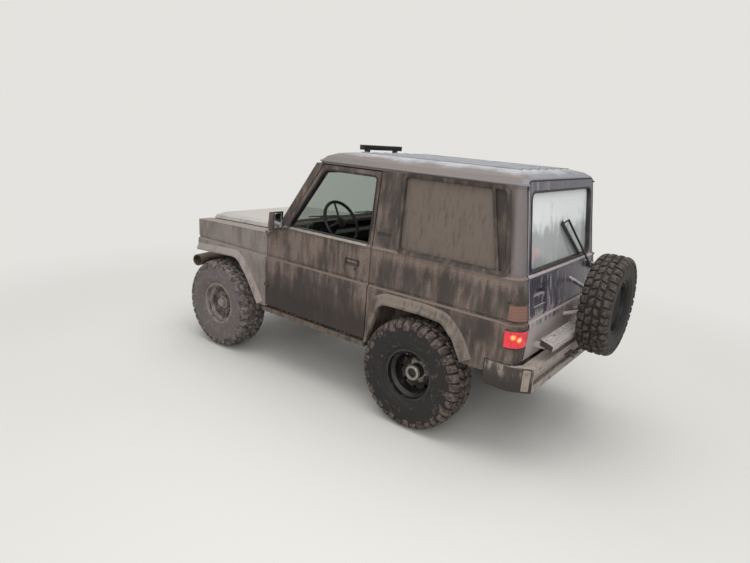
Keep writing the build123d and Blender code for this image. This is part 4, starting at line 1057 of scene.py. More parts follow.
worn_paint = muddied(
    "enamel_worn_to_primer", "#8d8890 #9c979e #7b757c #8a848a #8c8280 #a09792", share=0.3,
    cover=0.4, rough=(0.4, 0.8), patch_mm=40)
edge_wear = [(-0.002, -0.004), (-0.002, 0.0012), (0.011, 0.0012), (0.012, -0.004)]
worn_edge = carry([(0.646, 0.745), (0.646, 1.83)], edge_wear, back_skin, closed=False)
piece("rear_door_worn_edge", [worn_edge], worn_paint, "rear_door")

# %% [markdown]
# The tail lamps wrap round the rear corners. Their frames are dark lines above and below
# each lens, and since they go round the corner they follow a path in plan: along the
# side, through a quarter circle and onto the rear face.

# %% Tail lamp frames
lamp_bands = ((0.845, 0.962), (1.022, 1.126))
lamp_reach = (2.893, 0.672)          # station where a lens starts on the side, x where it ends


def corner_path(height, proud, steps=14):
    """Plan of the left rear corner at a height: side, quarter circle, rear face."""
    half, rear = (edge + proud for edge in panel_at(height))
    radius = corner_radius + proud
    turn = np.linspace(0, np.pi / 2, steps)
    x = np.concatenate([[half], half - radius + radius * np.cos(turn), [lamp_reach[1]]])
    station = np.concatenate([[lamp_reach[0]], rear - radius + radius * np.sin(turn), [rear]])
    return spread(x, at(station), height)


def corner_strip(*section):
    """Strip round the corner; its section gives a height and how proud it stands there."""
    rings = np.stack([corner_path(height, proud) for height, proud in section], 1)
    return shell(rings, ring_columns=True, caps=True)


frame_shells = []
for low, high in lamp_bands:
    for base, top in ((low - 0.006, low + 0.003), (high - 0.003, high + 0.006)):
        frame_shells.append(corner_strip((base, -0.002), (base, 0.0105), (top, 0.0105),
                                         (top, -0.002)))
for low, high in lamp_bands:
    for rib in np.linspace(low, high, 6)[1:-1]:
        frame_shells.append(corner_strip((rib - 0.0009, 0.008), (rib, 0.0098),
                                         (rib + 0.0009, 0.008)))
piece("tail_lamp_frame_left", frame_shells, muddy_rubber)
mirrored = [(points * (-1, 1, 1), quads, ends) for points, quads, ends in frame_shells]
piece("tail_lamp_frame_right", mirrored, muddy_rubber)

# %% [markdown]
# A lit stop lamp hangs inside the rear window, low on the left. Behind a dirty pane it is
# a pink glow, so its box is dark and only its face shines. Over the pane lies the wiper,
# whose blade is a broad channel of rubber on a thin rod.

# %% Inner stop lamp
stop_glow, tree, place = blank_material("moulded_acrylic_stop_lens")
ribs = noise(tree, pressed(tree, place, 1, 1, 0.1), 12, 2.0)
glow = {"Emission Color": mix_colours(tree, ribs, "#ff4256", "#ff8b93"),
        "Emission Strength": 0.75}
show(tree, coat(tree, mix_colours(tree, ribs, "#c93a48", "#e2707a"), 0.3, more=glow))
stop_middle = back_skin(0.425, 1.400, -0.060)
stop_facing = ((-1, 0, 0), (0, -0.135, 0.991))
stop_box = plate(rectangle(0.24, 0.085, 0.012), stop_middle - (0, 0.03, 0), stop_facing, 0.032)
piece("stop_lamp_box", [stop_box], black_plastic, "rear_door")
stop_face = plate(rectangle(0.215, 0.062, 0.01), stop_middle, stop_facing, 0.007)
piece("stop_lamp_face", [stop_face], stop_glow, "rear_door")
blade_profile = [(-0.013, -0.019), (-0.015, -0.009), (-0.005, -0.003), (0.005, -0.003),
                 (0.015, -0.009), (0.013, -0.019)]
blade = carry([(-0.384, 1.326), (0.002, 1.588)], blade_profile, back_skin, closed=False)
piece("rear_wiper_blade", [blade], black_rubber, "rear_door")
print("rear door trim and lamps")

# %% [markdown]
# The middle of a wheel. In front a free-wheeling hub with a bright pierced cap stands out
# of the disc; at the back the axle flange is a ring on a star-shaped base, whose bore is
# closed by a near-black disc of painted shade. Six nuts hold each wheel, a valve stands in
# the rim, and a brake drum, painted near black as painted shade, closes the view through
# the disc's holes. All of it is turned about the axle, so a few short profiles make it.

# %% Hubs, nuts and drums
hub_steel = muddied(
    "forged_hub_steel", "#8b857d #a09a92 #6d655b #80776c #75695c #8b7f71", share=0.32,
    cover=0.4, metallic=0.5, rough=(0.36, 0.85), patch_mm=25)
# Near black for the drums and the hub bores, deep inside the wheel: painted shade.
painted_hole_shade = muddied(
    "steel_near_black_painted_shade", "#0c0b0b #141312 #14110f #1d1917 #2a241f #3a322b", share=0.1, cover=0.3,
    rough=(0.4, 0.8), patch_mm=30)
wheel_rows = [
    # body, side of the vehicle, station of its axle
    ("wheel_front_left", 1, 0.0), ("wheel_front_right", -1, 0.0),
    ("wheel_rear_left", 1, wheelbase), ("wheel_rear_right", -1, wheelbase),
]
disc_face, rod_face = 0.670, 0.740       # x of the rim's disc and of the axle rod's end
nut_circle, nut_count = 0.079, 6
nut_outline = polygon(6, 0.0115)
drum_profile = [(0.602, 0.128), (0.602, 0.146), (0.655, 0.146), (0.660, 0.140), (0.660, 0.062),
                (0.655, 0.062), (0.655, 0.128)]
# The next three are measured from the end of the axle rod.
ring_profile = [(-0.004, 0.036), (0.016, 0.037), (0.020, 0.041), (0.020, 0.052), (0.015, 0.057),
                (-0.004, 0.0595)]
well_profile = [(-0.002, 0.037), (0.0015, 0.037), (0.0015, 0.002)]
cap_profile = [(-0.003, 0.0595), (0.010, 0.0595), (0.013, 0.056), (0.014, 0.044), (0.036, 0.041),
               (0.042, 0.036), (0.044, 0.022), (0.040, 0.019), (0.040, 0.0)]


def ring_places(count, circle, x, centre, phase=0.0):
    """Points evenly round a circle about the axle, at one x."""
    turns = round_turn(count) + phase
    return spread(x, centre[1] + circle * np.cos(turns), centre[2] + circle * np.sin(turns))


def about_axle(profile, face, hand, centre, steps=40, closed=False):
    """Profile turned about the axle; its first number goes outwards from a face."""
    placed = (np.asarray(profile, float) + (face, 0)) * (hand, 1)
    return turned(placed, centre, (1, 0, 0), steps, closed)


for body, hand, station in wheel_rows:
    centre = np.array([0, at(station), axle_height])
    outwards = ((0, hand, 0), upward)
    drum = about_axle(drum_profile, 0, hand, centre, closed=True)
    piece(body + "_drum", [drum], painted_hole_shade, body)
    nuts = plate(nut_outline, ring_places(nut_count, nut_circle, hand * disc_face, centre),
                 outwards, 0.020, 0.003)
    studs_at = ring_places(nut_count, nut_circle, hand * (disc_face + 0.019), centre)
    studs = plate(polygon(10, 0.0065), studs_at, outwards, 0.009, 0.001)
    piece(body + "_nuts", [nuts, studs], hub_steel, body)
    valve_at = centre + (hand * 0.752, 0, 0.161)
    valve = bar([valve_at - (hand * 0.02, 0, 0.003), valve_at,
                 valve_at + (hand * 0.024, 0, -0.004)], 0.0045, 0.008, 8)
    piece(body + "_valve", [valve], black_rubber, body)
    if station == wheelbase:
        star = plate(polygon(72, 0.083, 0.013, 6), centre + (hand * (disc_face - 0.001), 0, 0),
                     outwards, 0.010, 0.004)
        ring = about_axle(ring_profile, rod_face, hand, centre, closed=True)
        piece(body + "_hub_ring", [star, ring], hub_steel, body)
        # The bore of the ring is closed by a near-black disc: painted shade.
        well = about_axle(well_profile, rod_face, hand, centre, 24)
        piece(body + "_hub_well", [well], painted_hole_shade, body)
    else:
        cap = about_axle(cap_profile, rod_face, hand, centre)
        bolts_at = ring_places(6, 0.0505, hand * (rod_face + 0.013), centre, 0.3)
        bolts = plate(polygon(6, 0.0058), bolts_at, outwards, 0.006, 0.001)
        dial = plate(rectangle(0.034, 0.009, 0.003), centre + (hand * (rod_face + 0.039), 0, 0),
                     outwards, 0.008)
        piece(body + "_hub_cap", [cap, bolts, dial], hub_steel, body)

spare_face = np.array(middle("spare_rim")) - (0, 0.028, 0)
clamp_profile = [(-0.012, 0.0), (-0.012, 0.055), (0.001, 0.056), (0.001, 0.068), (0.005, 0.069),
                 (0.009, 0.062), (0.011, 0.030), (0.016, 0.026), (0.018, 0.0)]
clamp_cap = turned(clamp_profile, spare_face, (0, 1, 0), 40)
turns = round_turn(3) + 0.5
nuts_at = spare_face + nut_circle * spread(np.cos(turns), 0, np.sin(turns))
spare_nuts = plate(nut_outline, nuts_at, to_rear, 0.018, 0.003)
piece("spare_clamp_cap", [clamp_cap], rim_spare, "rear_door")
piece("spare_nuts", [spare_nuts], hub_steel, "rear_door")
print("wheel middles", len(wheel_rows) + 1)

# %% [markdown]
# Clods. Mud that is thrown up dries in lumps on every ledge. A lump is a small sphere
# grid whose radius is bent by a few cosines, so two dozen faces are enough, and hundreds
# can lie about. The random numbers are seeded, which keeps every run the same.

# %% Clods
lump_rows, lump_columns = 6, 7


def lumps(low, high, count, size, seed, flat=0.55):
    """Bent spheres strewn over a box: radius = size times 1 + 0.25 cos(k turn + phase)."""
    chance = np.random.default_rng(seed)
    middles = chance.uniform(low, high, (count, 3))
    sizes = size * chance.uniform(0.45, 1.0, (count, 1, 1))
    rise = np.linspace(0, np.pi, lump_rows)[None, :, None]
    turn = round_turn(lump_columns)[None, None, :]
    phase = chance.uniform(0, 6.28, (count, 1, 1))
    reach = sizes * (1 + 0.25 * np.cos(2 * turn + phase) + 0.15 * np.cos(3 * rise + 2 * phase))
    across = reach * np.sin(rise)
    points = spread(across * np.cos(turn + phase), across * np.sin(turn + phase),
                    reach * np.cos(rise) * flat)
    return shell(points + middles[:, None, None], ring_columns=True)


dried_clay = muddied(
    "dried_clay_clods", "#7d7166 #8c8075 #7d7166 #8c8075 #897c71 #a2958a", share=0.6, cover=0.9,
    rough=(0.9, 0.95), patch_mm=20, depth_mm=1.0)
bumper_clods = [
    lumps((-0.70, at(3.012), 0.719), (0.70, at(3.080), 0.722), 130, 0.010, 3),
    lumps((0.74, at(2.80), 0.720), (0.782, at(2.96), 0.722), 30, 0.009, 4),
    lumps((-0.782, at(2.80), 0.720), (-0.74, at(2.96), 0.722), 30, 0.009, 5),
    lumps((-0.685, at(3.070), 0.603), (0.685, at(3.086), 0.606), 110, 0.009, 6),
]
piece("rear_bumper_clods", bumper_clods, dried_clay, "body", sharp=80)
axle_clods = [
    lumps((-0.50, at(-0.02), 0.455), (0.50, at(0.02), 0.46), 60, 0.014, 7),
    lumps((-0.56, at(2.185), 0.455), (0.56, at(2.225), 0.46), 70, 0.015, 8),
    lumps((-0.745, at(0.65), 0.534), (-0.725, at(1.70), 0.537), 40, 0.012, 9),
    lumps((0.725, at(0.65), 0.534), (0.745, at(1.70), 0.537), 40, 0.012, 10),
]
piece("under_body_clods", axle_clods, dried_clay, "body", sharp=80)
step_clods = [lumps((-0.29, at(3.036), 0.858), (0.50, at(3.060), 0.860), 34, 0.008, 11)]
piece("step_clods", step_clods, dried_clay, "rear_door", sharp=80)
all_clods = bumper_clods + axle_clods + step_clods
print("clods", sum(len(points) for points, _, _ in all_clods) // (lump_rows * lump_columns))

# %% [markdown]
# The rear bumper is a folded channel with an end plate bolted to each slanted corner.
# Its bolt heads are hexagons; at this size a real thread would never show.

# %% Bumper end plates and bolts
corner_across = np.array([-0.081, 0.123, 0.0])
corner_across = corner_across / np.linalg.norm(corner_across)
for hand, side in both_sides:
    across = corner_across * (1, hand, 1)          # so that both plates face outwards
    outwards = (across, upward)
    plate_middle = np.array([hand * 0.730, at(3.050), 0.637])
    end_plate = plate(rectangle(0.048, 0.146, 0.008), plate_middle, outwards, 0.006)
    plate_face = plate_middle + np.cross(across, upward) * 0.006
    bolts_at = plate_face + np.array([[0, 0, 0.050], [0, 0, -0.050]])
    bolts = plate(polygon(6, 0.0105), bolts_at, outwards, 0.007, 0.0015)
    washers = plate(polygon(16, 0.014), bolts_at, outwards, 0.002, 0.0005)
    piece(f"bumper_end_plate_{side}", [end_plate], dried_clay, "body")
    piece(f"bumper_end_bolts_{side}", [bolts, washers], hub_steel, "body")
bolts_at = spread(np.array([-0.60, -0.33, 0.33, 0.60]), at(3.088), 0.697)
bolts = plate(polygon(6, 0.010), bolts_at, to_rear, 0.007, 0.0015)
piece("bumper_face_bolts", [bolts], hub_steel, "body")
print("bumper bolts", len(bolts_at) + 4)

# %% [markdown]
# The step on the rear door is a weathered plank on a bracket. Its grooves run along it,
# and its sawn ends are painted darker than its faces, as painted shade.

# %% Step plank
plank_wood, tree, place = blank_material("weathered_oak_plank")
grain = noise(tree, pressed(tree, place, 0.06, 1, 1), 7, 5.0)
clay_on_it = ramp(tree, noise(tree, place, 60, 5.0), 0.48, 0.62)
wood = mix_colours(tree, ramp(tree, grain, 0.35, 0.65), "#857f7c", "#bdb6b3")
wood = mix_colours(tree, clay_on_it, wood, "#aea5a0")
# Faces that look along x, the two sawn ends, get a dark brown: painted shade.
normal = add_node(tree, "TexCoord").outputs["Normal"]
painted_end_shade = reckon(tree, "ABSOLUTE", add_node(tree, "SeparateXYZ", {0: normal}).outputs[0])
wood = mix_colours(tree, ramp(tree, painted_end_shade, 0.5, 0.9), wood, "#3d352f")
show(tree, coat(tree, wood, 0.85, grain, depth_mm=0.8))

plank_near = (3.0300, 0.8620)       # station and height of the top's near edge
groove_count = 4
groove_depth = 0.0028
plank_ends = np.array([-0.3025, 0.5125])
share = np.linspace(0, 1, 25)
in_groove = np.abs(np.mod(share * groove_count + 0.5, 1) - 0.5) > 0.40
top_line = np.stack([plank_near[0] + 0.0885 * share,
                     plank_near[1] - 0.027 * share + (0.0035 - groove_depth * in_groove)], -1)
plank_outline = np.concatenate([top_line, [(3.1200, 0.832), (3.1200, 0.7985), (3.1170, 0.7985),
                                           (3.1165, 0.828), (3.0305, 0.8555)]])
plank = shell(spread(plank_ends[:, None], at(plank_outline[:, 0]), plank_outline[:, 1]),
              ring_columns=True, caps=True)
sawn_end = np.array([(3.0305, 0.8215), (3.0305, 0.8625), (3.1190, 0.8355), (3.1190, 0.7995)])
end_boards = [plate(sawn_end * (hand, 1), (x, at(0), 0), ((0, hand, 0), upward), 0.002, 0.0005)
              for x, hand in ((0.511, 1), (-0.301, -1))]
piece("step_plank", [plank] + end_boards, plank_wood, "rear_door", sharp=30)
print("plank grooves", groove_count)

# %% [markdown]
# The lamp bar on the roof is a finned aluminium box with a row of small lenses in front.
# Its fins point to the rear, where the photograph looks.

# %% Lamp bar
bar_height = 0.040
bar_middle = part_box("roof_light_bar")[1][2] - bar_height / 2


def bar_row(reach, count, station):
    """Places in a row along the lamp bar."""
    return spread(np.linspace(-reach, reach, count), at(station), bar_middle)


fins = plate(rectangle(0.004, 0.034, 0.0015), bar_row(0.262, 44, 1.222), to_rear, 0.007, 0.001)
piece("lamp_bar_fins", [fins], black_plastic)
cells = plate(rectangle(0.031, 0.030, 0.004), bar_row(0.245, 14, 1.180), to_front, 0.003, 0.001)
piece("lamp_bar_lenses", [cells], head_lens, "body")
print("lamp bar's middle", round(bar_middle, 3))

# %% Headlamps, indicators and grille frame
lamp_places = [(x, at(-0.354), 1.040) for x in (-0.468, 0.468)]
bezel_profile = [(-0.003, 0.084), (0.004, 0.086), (0.010, 0.093), (0.010, 0.099), (0.005, 0.106),
                 (-0.003, 0.107)]
dome_profile = [(0.0, 0.087), (0.007, 0.078), (0.012, 0.055), (0.015, 0.028), (0.016, 0.0)]
bezels = [turned(bezel_profile, place, (0, -1, 0), 40, closed=True) for place in lamp_places]
domes = [turned(dome_profile, place, (0, -1, 0), 40) for place in lamp_places]
piece("headlamp_bezels", bezels, wiped_steel, "body")
piece("headlamp_domes", domes, head_lens, "body")

cream_lens = muddied(
    "moulded_cream_lens", "#b9a184 #c7b092 #978570 #a7957f #8f8273 #a39685", share=0.3,
    cover=0.4, rough=(0.3, 0.8), patch_mm=30, depth_mm=0.2)
indicators = plate(rectangle(0.092, 0.038, 0.008),
                   spread(np.array([-0.690, 0.690]), at(-0.3781), 0.9275), to_front, 0.006)
piece("front_indicators", [indicators], cream_lens, "body")


def nose_skin(x, height, lift):
    """The grille panel's front face is a plane across the vehicle; lift goes forwards."""
    return spread(x, at(-0.358) - lift, height)


mouth = [(-0.352, 0.948), (-0.352, 1.132), (0.352, 1.132), (0.352, 0.948)]
mouth_profile = [(-0.006, -0.012), (-0.008, 0.003), (-0.004, 0.007), (0.006, 0.007),
                 (0.012, 0.002), (0.012, -0.002)]
mouth_frame = carry(rounded(mouth, 0.02), mouth_profile, nose_skin)
piece("grille_frame", [mouth_frame], black_plastic)
print("front of the vehicle dressed")

# %% [markdown]
# Mirrors. Each housing is a CAD solid on the door; its glass is silvered on the back and
# faces the driver, with the same spatter as everything else.

# %% Door mirrors
silvered = muddied(
    "silvered_mirror_glass", "#c9cdd0 #d4d8da #8b8379 #999186 #877b6f #9c9084", share=0.2,
    cover=0.25, metallic=1.0, rough=(0.06, 0.8), patch_mm=40, depth_mm=0.2)
mirror_facing = ((-1, 0, 0), (0, 0.0665, 0.9978))
for hand, side in both_sides:
    low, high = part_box(f"door_{side}")
    outer_edge = high[0] if hand > 0 else low[0]
    face = np.array([outer_edge - hand * 0.0525, at(0.887), 1.360])
    rim = plate(rectangle(0.098, 0.138, 0.014), face - (0, 0.003, 0), mirror_facing, 0.006)
    glass = plate(rectangle(0.084, 0.124, 0.010), face + (0, 0.002, 0), mirror_facing, 0.0025,
                  0.001)
    piece(f"mirror_frame_{side}", [rim], black_plastic, f"door_{side}")
    piece(f"mirror_glass_{side}", [glass], silvered, f"door_{side}")
print("mirrors 2")

# %% [markdown]
# Seats. A seat cushion is foam in a sewn cover: crowned where it is free, pulled in where
# it is sewn. Modelling the crown by hand takes long and looks stiff, so each pad starts
# as a boxy superellipsoid, is remeshed to even squares and blown up as cloth, and how far
# a point may move is capped. Sewn channels are pressed in afterwards. One pad of a kind
# is blown up, and the other side's is a shifted copy.

# %% Seat cloth
seat_cloth, tree, place = blank_material("woven_polyester_cloth")
check_mm = 40.0          # the weave's check; its threads are too fine to show
weave = {"Vector": place, "Scale": 314 / check_mm, "Distortion": 0.4}
warp = add_node(tree, "TexWave", weave, bands_direction="X").outputs["Fac"]
weft = add_node(tree, "TexWave", weave, bands_direction="Z").outputs["Fac"]
crossing = reckon(tree, "MULTIPLY", warp, weft)
soil = ramp(tree, noise(tree, place, 120, 5.0), 0.4, 0.7)
clean = mix_colours(tree, crossing, "#1c1c1e", "#2f2f32")
show(tree, coat(tree, mix_colours(tree, soil, clean, "#4a433c"), 0.9, crossing, 0.5, 0.6,
                {"Sheen Weight": 0.25}))
print("check", check_mm, "mm")

# %% Padded pieces
pad_rows, pad_columns = 40, 56
pad_power = 0.32             # of the cosines; 1 would be a plain ellipsoid
voxel_size = 0.011
blow_frames = 16
blow_pressure = 4.0
blow_cap = 0.011
seam_width, seam_depth = 0.007, 0.009


def raised(value):
    """Value to the power of the pads, with its sign kept."""
    return np.sign(value) * np.abs(value) ** pad_power


def superellipsoid(centre, halves, lean, dish):
    """x, y, z are halves times cos and sin to a small power; lean shears y by z.

    dish draws the middle of the upper side in, by the square of the way to the sides.
    """
    rise = np.linspace(-np.pi / 2, np.pi / 2, pad_rows)[:, None]
    turn = np.linspace(-np.pi, np.pi, pad_columns, endpoint=False)[None, :]
    x = halves[0] * raised(np.cos(rise)) * raised(np.cos(turn))
    y = halves[1] * raised(np.cos(rise)) * raised(np.sin(turn))
    z = halves[2] * raised(np.sin(rise)) * np.ones_like(turn)
    hollow = dish * (1 - (x / halves[0]) ** 2)
    if halves[1] < halves[2]:
        y = y + hollow * (y < 0)
    else:
        z = z - hollow * (z > 0)
    y = y + lean * z
    return shell(np.stack([x, y, z], -1) + np.asarray(centre), ring_columns=True)


def blown_up(made):
    """Even squares, then cloth under pressure, each point moved by no more than the cap."""
    scene = bpy.context.scene
    bpy.context.view_layer.objects.active = made
    made.data.remesh_voxel_size = voxel_size
    bpy.ops.object.voxel_remesh()
    rest = np.empty(len(made.data.vertices) * 3)
    made.data.vertices.foreach_get("co", rest)
    cloth_modifier = made.modifiers.new("blow", "CLOTH")
    settings = cloth_modifier.settings
    settings.use_pressure = True
    settings.uniform_pressure_force = blow_pressure
    settings.effector_weights.gravity = 0
    settings.quality = 4
    for frame_number in range(1, blow_frames + 1):
        scene.frame_set(frame_number)
    blown = made.evaluated_get(bpy.context.evaluated_depsgraph_get()).data
    moved = np.empty_like(rest)
    blown.vertices.foreach_get("co", moved)
    step = (moved - rest).reshape(-1, 3)
    length = np.linalg.norm(step, axis=1, keepdims=True)
    step = step * np.minimum(1, blow_cap / np.maximum(length, 1e-9))
    rest = rest + step.ravel()
    made.modifiers.remove(cloth_modifier)
    scene.frame_set(1)
    return rest.reshape(-1, 3)


def pad(name, centre, halves, lean, dish, seams, shifts, node):
    """Pads blown up once and set out at each shift; seams are channels across x."""
    start = superellipsoid(centre, halves, lean, dish)
    first = piece(name, [start], seat_cloth, "body", 80)
    points = blown_up(first)
    offset = points - np.asarray(centre)
    offset[:, 1] -= lean * offset[:, 2]
    inward = -np.sign(offset) * ((0, 0, 1) if halves[1] > halves[2] else (0, 1, 0))
    for seam in seams:
        near = np.exp(-((offset[:, 0] - seam) / seam_width) ** 2)
        points = points + seam_depth * near[:, None] * inward
    quads = np.empty(len(first.data.polygons) * 4, int)
    first.data.polygons.foreach_get("vertices", quads)
    bpy.data.objects.remove(first)
    for number, shift in enumerate(shifts):
        grid = (points + (shift, 0, 0), quads.reshape(-1, 4), np.zeros((0, 4), int))
        label = name if len(shifts) == 1 else f"{name}_{('left', 'right')[number]}"
        made = piece(label, [grid], seat_cloth, "body", 80)
        finer = made.modifiers.new("finer", "SUBSURF")
        finer.levels = finer.render_levels = 1
        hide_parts(node)
    return len(quads) // 4


seat_x = 0.350
both_seats = (0.0, -2 * seat_x)
pad_table = [
    # name, middle, half sizes, lean, dish, seams, shifts, node
    ("seat_cushion", (seat_x, at(1.340), 0.862), (0.236, 0.246, 0.050), 0.0, 0.014,
     (-0.15, 0.15), both_seats, "front_seats"),
    ("seat_back", (seat_x, at(1.642), 1.205), (0.231, 0.046, 0.330), 0.185, 0.012,
     (-0.15, 0.15), both_seats, "front_seats"),
    ("head_rest", (seat_x, at(1.702), 1.646), (0.117, 0.036, 0.086), 0.12, 0.0,
     (), both_seats, "front_seats"),
    ("bench_cushion", (0.0, at(2.300), 0.912), (0.455, 0.206, 0.058), 0.0, 0.0,
     (-0.155, 0.155), (0.0,), "rear_bench"),
    ("bench_back", (0.0, at(2.538), 1.180), (0.455, 0.040, 0.235), 0.27, 0.0,
     (-0.155, 0.155), (0.0,), "rear_bench"),
]
for row in pad_table:
    print(row[0], "squares", pad(*row))

# %% Seat frames
seat_frames = []
for x in (seat_x, -seat_x):
    seat_frames.append(plate(rectangle(0.39, 0.41, 0.03), (x, at(1.350), 0.604), to_top, 0.196,
                             0.012))
    for rail in (-0.17, 0.17):
        seat_frames.append(plate(rectangle(0.035, 0.50, 0.004), (x + rail, at(1.350), 0.601),
                                 to_top, 0.022))
    for post in (-0.06, 0.06):
        seat_frames.append(bar([(x + post, at(1.694), 1.50), (x + post, at(1.702), 1.60)], 0.006))
made = piece("seat_frames", seat_frames, black_plastic)
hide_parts("front_seats")
bench_base = plate(rectangle(0.92, 0.40, 0.03), (0, at(2.300), 0.721), to_top, 0.138, 0.01)
made = piece("bench_base", [bench_base], black_plastic)
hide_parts("rear_bench")
print("seat frames", len(seat_frames))

# %% [markdown]
# What else shows through the glass: cards on the doors with an armrest and a window
# crank, a hood over the instruments, two levers on the tunnel and the pedals.

# %% Cabin trim
for hand, side in both_sides:
    inwards = ((0, -hand, 0), upward)
    card = plate(rectangle(1.02, 0.56, 0.05), (hand * 0.7300, at(1.200), 0.930), inwards, 0.010,
                 0.004)
    arm_rest = plate(rectangle(0.36, 0.055, 0.02), (hand * 0.7205, at(1.330), 0.990), inwards,
                     0.045, 0.012)
    hub = turned([(0, 0.022), (0.016, 0.020), (0.020, 0.012), (0.020, 0.0)],
                 (hand * 0.7205, at(1.02), 0.90), (-hand, 0, 0), 20)
    crank = bar([(hand * 0.704, at(1.02), 0.90), (hand * 0.700, at(1.09), 0.865),
                 (hand * 0.690, at(1.115), 0.852)], 0.006)
    piece(f"door_card_{side}", [card, arm_rest, hub, crank], black_plastic, f"door_{side}")

driver_x = 0.36
hood = plate(rectangle(0.34, 0.13, 0.03), (driver_x, at(0.900), 1.262),
             ((-1, 0, 0), (0, 0.17, 0.985)), 0.012, 0.006)
hood_top = plate(rectangle(0.36, 0.15, 0.03), (driver_x, at(0.800), 1.210), to_top, 0.075, 0.02)
dial_profile = [(0, 0.042), (0.004, 0.042), (0.005, 0.038), (0.002, 0.036), (0.002, 0.0)]
dials = [turned(dial_profile, (driver_x + x, at(0.9125), 1.262), (0, 1, -0.17), 28)
         for x in (-0.075, 0.075)]
piece("instrument_hood", [hood, hood_top] + dials, black_plastic)
vents = plate(rectangle(0.13, 0.055, 0.008),
              spread(np.array([-0.52, -0.10, 0.10, 0.56]), at(0.905), 1.150), to_rear, 0.006)
piece("dash_vents", [vents], black_plastic)

knob_profile = [(-0.022, 0.0), (-0.02, 0.012), (0.0, 0.021), (0.015, 0.018), (0.022, 0.0)]
boot_profile = [(0, 0.055), (0.012, 0.05), (0.05, 0.014), (0.055, 0.0)]
controls = []
for x, station, tall in ((0.0, 1.02, 0.34), (0.075, 1.16, 0.24)):
    knob_place = (x, at(station + 0.031), 0.63 + tall)
    controls += [bar([(x, at(station), 0.615), (x, at(station + 0.03), 0.615 + tall)], 0.007),
                 turned(knob_profile, knob_place, (0, 0.09, 1), 20),
                 turned(boot_profile, (x, at(station), 0.612), (0, 0, 1), 20)]
pedal_x = (0.27, 0.36, 0.45)
controls += [plate(rectangle(0.055, 0.07, 0.008), (x, at(0.80), 0.74),
                   ((-1, 0, 0), (0, -0.5, 0.866)), 0.010) for x in pedal_x]
controls += [bar([(x, at(0.796), 0.745), (x, at(0.72), 0.80), (x, at(0.68), 0.925)], 0.007)
             for x in pedal_x]
piece("levers_and_pedals", controls, black_plastic)
boss = turned([(-0.004, 0.0), (-0.004, 0.050), (0.010, 0.048), (0.018, 0.036), (0.020, 0.0)],
              (driver_x, at(1.098 - 0.0034), 1.338 - 0.002), (0, 0.862, 0.507), 28)
piece("steering_pad", [boss], black_plastic, "steering_wheel")
print("cabin dressed")

# %% [markdown]
# Under the bonnet and under the floor: a ribbed rocker cover, an air cleaner and a hose
# for the engine, U-bolts that clamp the leaf springs to the axles, bands round the
# leaves, and the ring of bolts on each differential.

# %% Engine top
cast_alloy = muddied(
    "sand_cast_aluminium", "#75726c #85827b #5f574d #6f665b #6f6457 #82766a", share=0.3,
    metallic=0.6, rough=(0.5, 0.9), patch_mm=30)
block_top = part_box("engine_block")[1][2]
cover_x = 0.04
cover = plate(rectangle(0.15, 0.50, 0.03), (cover_x, at(0.170), block_top - 0.002), to_top,
              0.040, 0.014)
ribs_at = spread(cover_x + np.array([-0.045, -0.015, 0.015, 0.045]), at(0.170),
                 block_top + 0.036)
cover_ribs = plate(rectangle(0.006, 0.40, 0.003), ribs_at, to_top, 0.006, 0.002)
filler = turned([(0, 0.026), (0.02, 0.026), (0.024, 0.022), (0.024, 0.0)],
                (cover_x, at(-0.03), block_top + 0.036), (0, 0, 1), 24)
piece("rocker_cover", [cover, cover_ribs, filler], cast_alloy, "body")
cleaner = turned([(0, 0.02), (0, 0.085), (0.008, 0.092), (0.030, 0.092), (0.036, 0.098),
                  (0.044, 0.096), (0.050, 0.085), (0.052, 0.012), (0.060, 0.008), (0.060, 0.0)],
                 (-0.110, at(0.10), block_top - 0.001), (0, 0, 1), 40)
top_hose = bar([(0.10, at(-0.21), 1.085), (0.10, at(-0.165), 1.10), (0.06, at(-0.13), 1.085),
                (0.05, at(-0.10), 1.075)], 0.021)
leads = [bar([(-0.03, at(0.02 + 0.09 * number), block_top + 0.02),
              (-0.05 - 0.01 * number, at(0.05 + 0.08 * number), block_top + 0.05),
              (-0.185, at(0.10 + 0.05 * number), block_top + 0.012)], 0.004, 0.02, 8)
         for number in range(4)]
piece("air_cleaner", [cleaner, top_hose] + leads, black_plastic)
print("leads", len(leads))

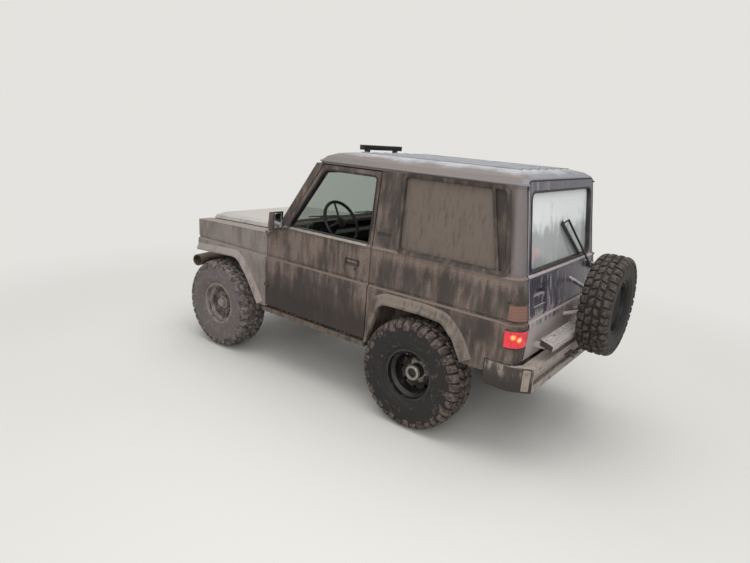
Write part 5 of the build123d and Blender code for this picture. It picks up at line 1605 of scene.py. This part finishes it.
# %% Clamps under the floor
clamp_steel = muddied(
    "zinc_plated_steel_under_clay", "#5b554e #6a645c #4d443b #5b5147 #66594d #7c6e60",
    share=0.5, metallic=0.3, rough=(0.5, 0.9), patch_mm=30)
bolt_section = [(-0.047, 0.360), (-0.047, 0.512), (0.047, 0.512), (0.047, 0.360)]
band_section = [(-0.040, 0.470), (-0.040, 0.506), (0.040, 0.506), (0.040, 0.470)]
band_profile = [(-0.002, -0.014), (-0.002, 0.014), (0.002, 0.014), (0.002, -0.014)]


def cross_plane(station):
    """Plane across the vehicle at a station; lift goes to the rear."""
    return lambda across, height, lift: spread(across, at(station) + lift, height)


clamps = []
for axle_station in (0.0, wheelbase):
    for x in (0.325, -0.325):
        for along in (-0.040, 0.040):
            clamps.append(bar([(x + across, at(axle_station + along), height)
                               for across, height in bolt_section], 0.0065, 0.018))
        clamps.append(plate(rectangle(0.13, 0.12, 0.012), (x, at(axle_station), 0.363), to_top,
                            0.012))
        for reach in (-0.20, 0.20):
            band = rounded(np.array(band_section) + (x, 0), 0.006)
            clamps.append(carry(band, band_profile, cross_plane(axle_station + reach)))
piece("spring_clamps", clamps, clamp_steel, "body")

cover_bolts = []
for x, y, reach in ((0.0, rear_axle_y, 0.132), (-0.150, front_axle_y, 0.128)):
    centre = np.array([x, y, axle_height])
    flange = [(-0.010, reach - 0.010), (-0.010, reach + 0.007), (0.010, reach + 0.007),
              (0.010, reach - 0.010)]
    cover_bolts.append(turned(flange, centre, (0, 1, 0), 48, closed=True))
    turns, circle = round_turn(10), reach - 0.003
    bolts_at = centre + spread(circle * np.cos(turns), 0.010, circle * np.sin(turns))
    cover_bolts.append(plate(polygon(6, 0.008), bolts_at, to_rear, 0.007, 0.001))
piece("differential_bolts", cover_bolts, clamp_steel, "body")

seam_profile = [(-0.006, 0.0505), (-0.006, 0.0545), (0.006, 0.0545), (0.006, 0.0505)]
pipe_seams = [turned(seam_profile, (0.220, at(station), 0.436), (0, 1, 0), 32, closed=True)
              for station in (1.13, 1.30, 1.47)]
piece("silencer_seams", pipe_seams, rusty_pipe, "body")
print("engine top, clamps and seams")
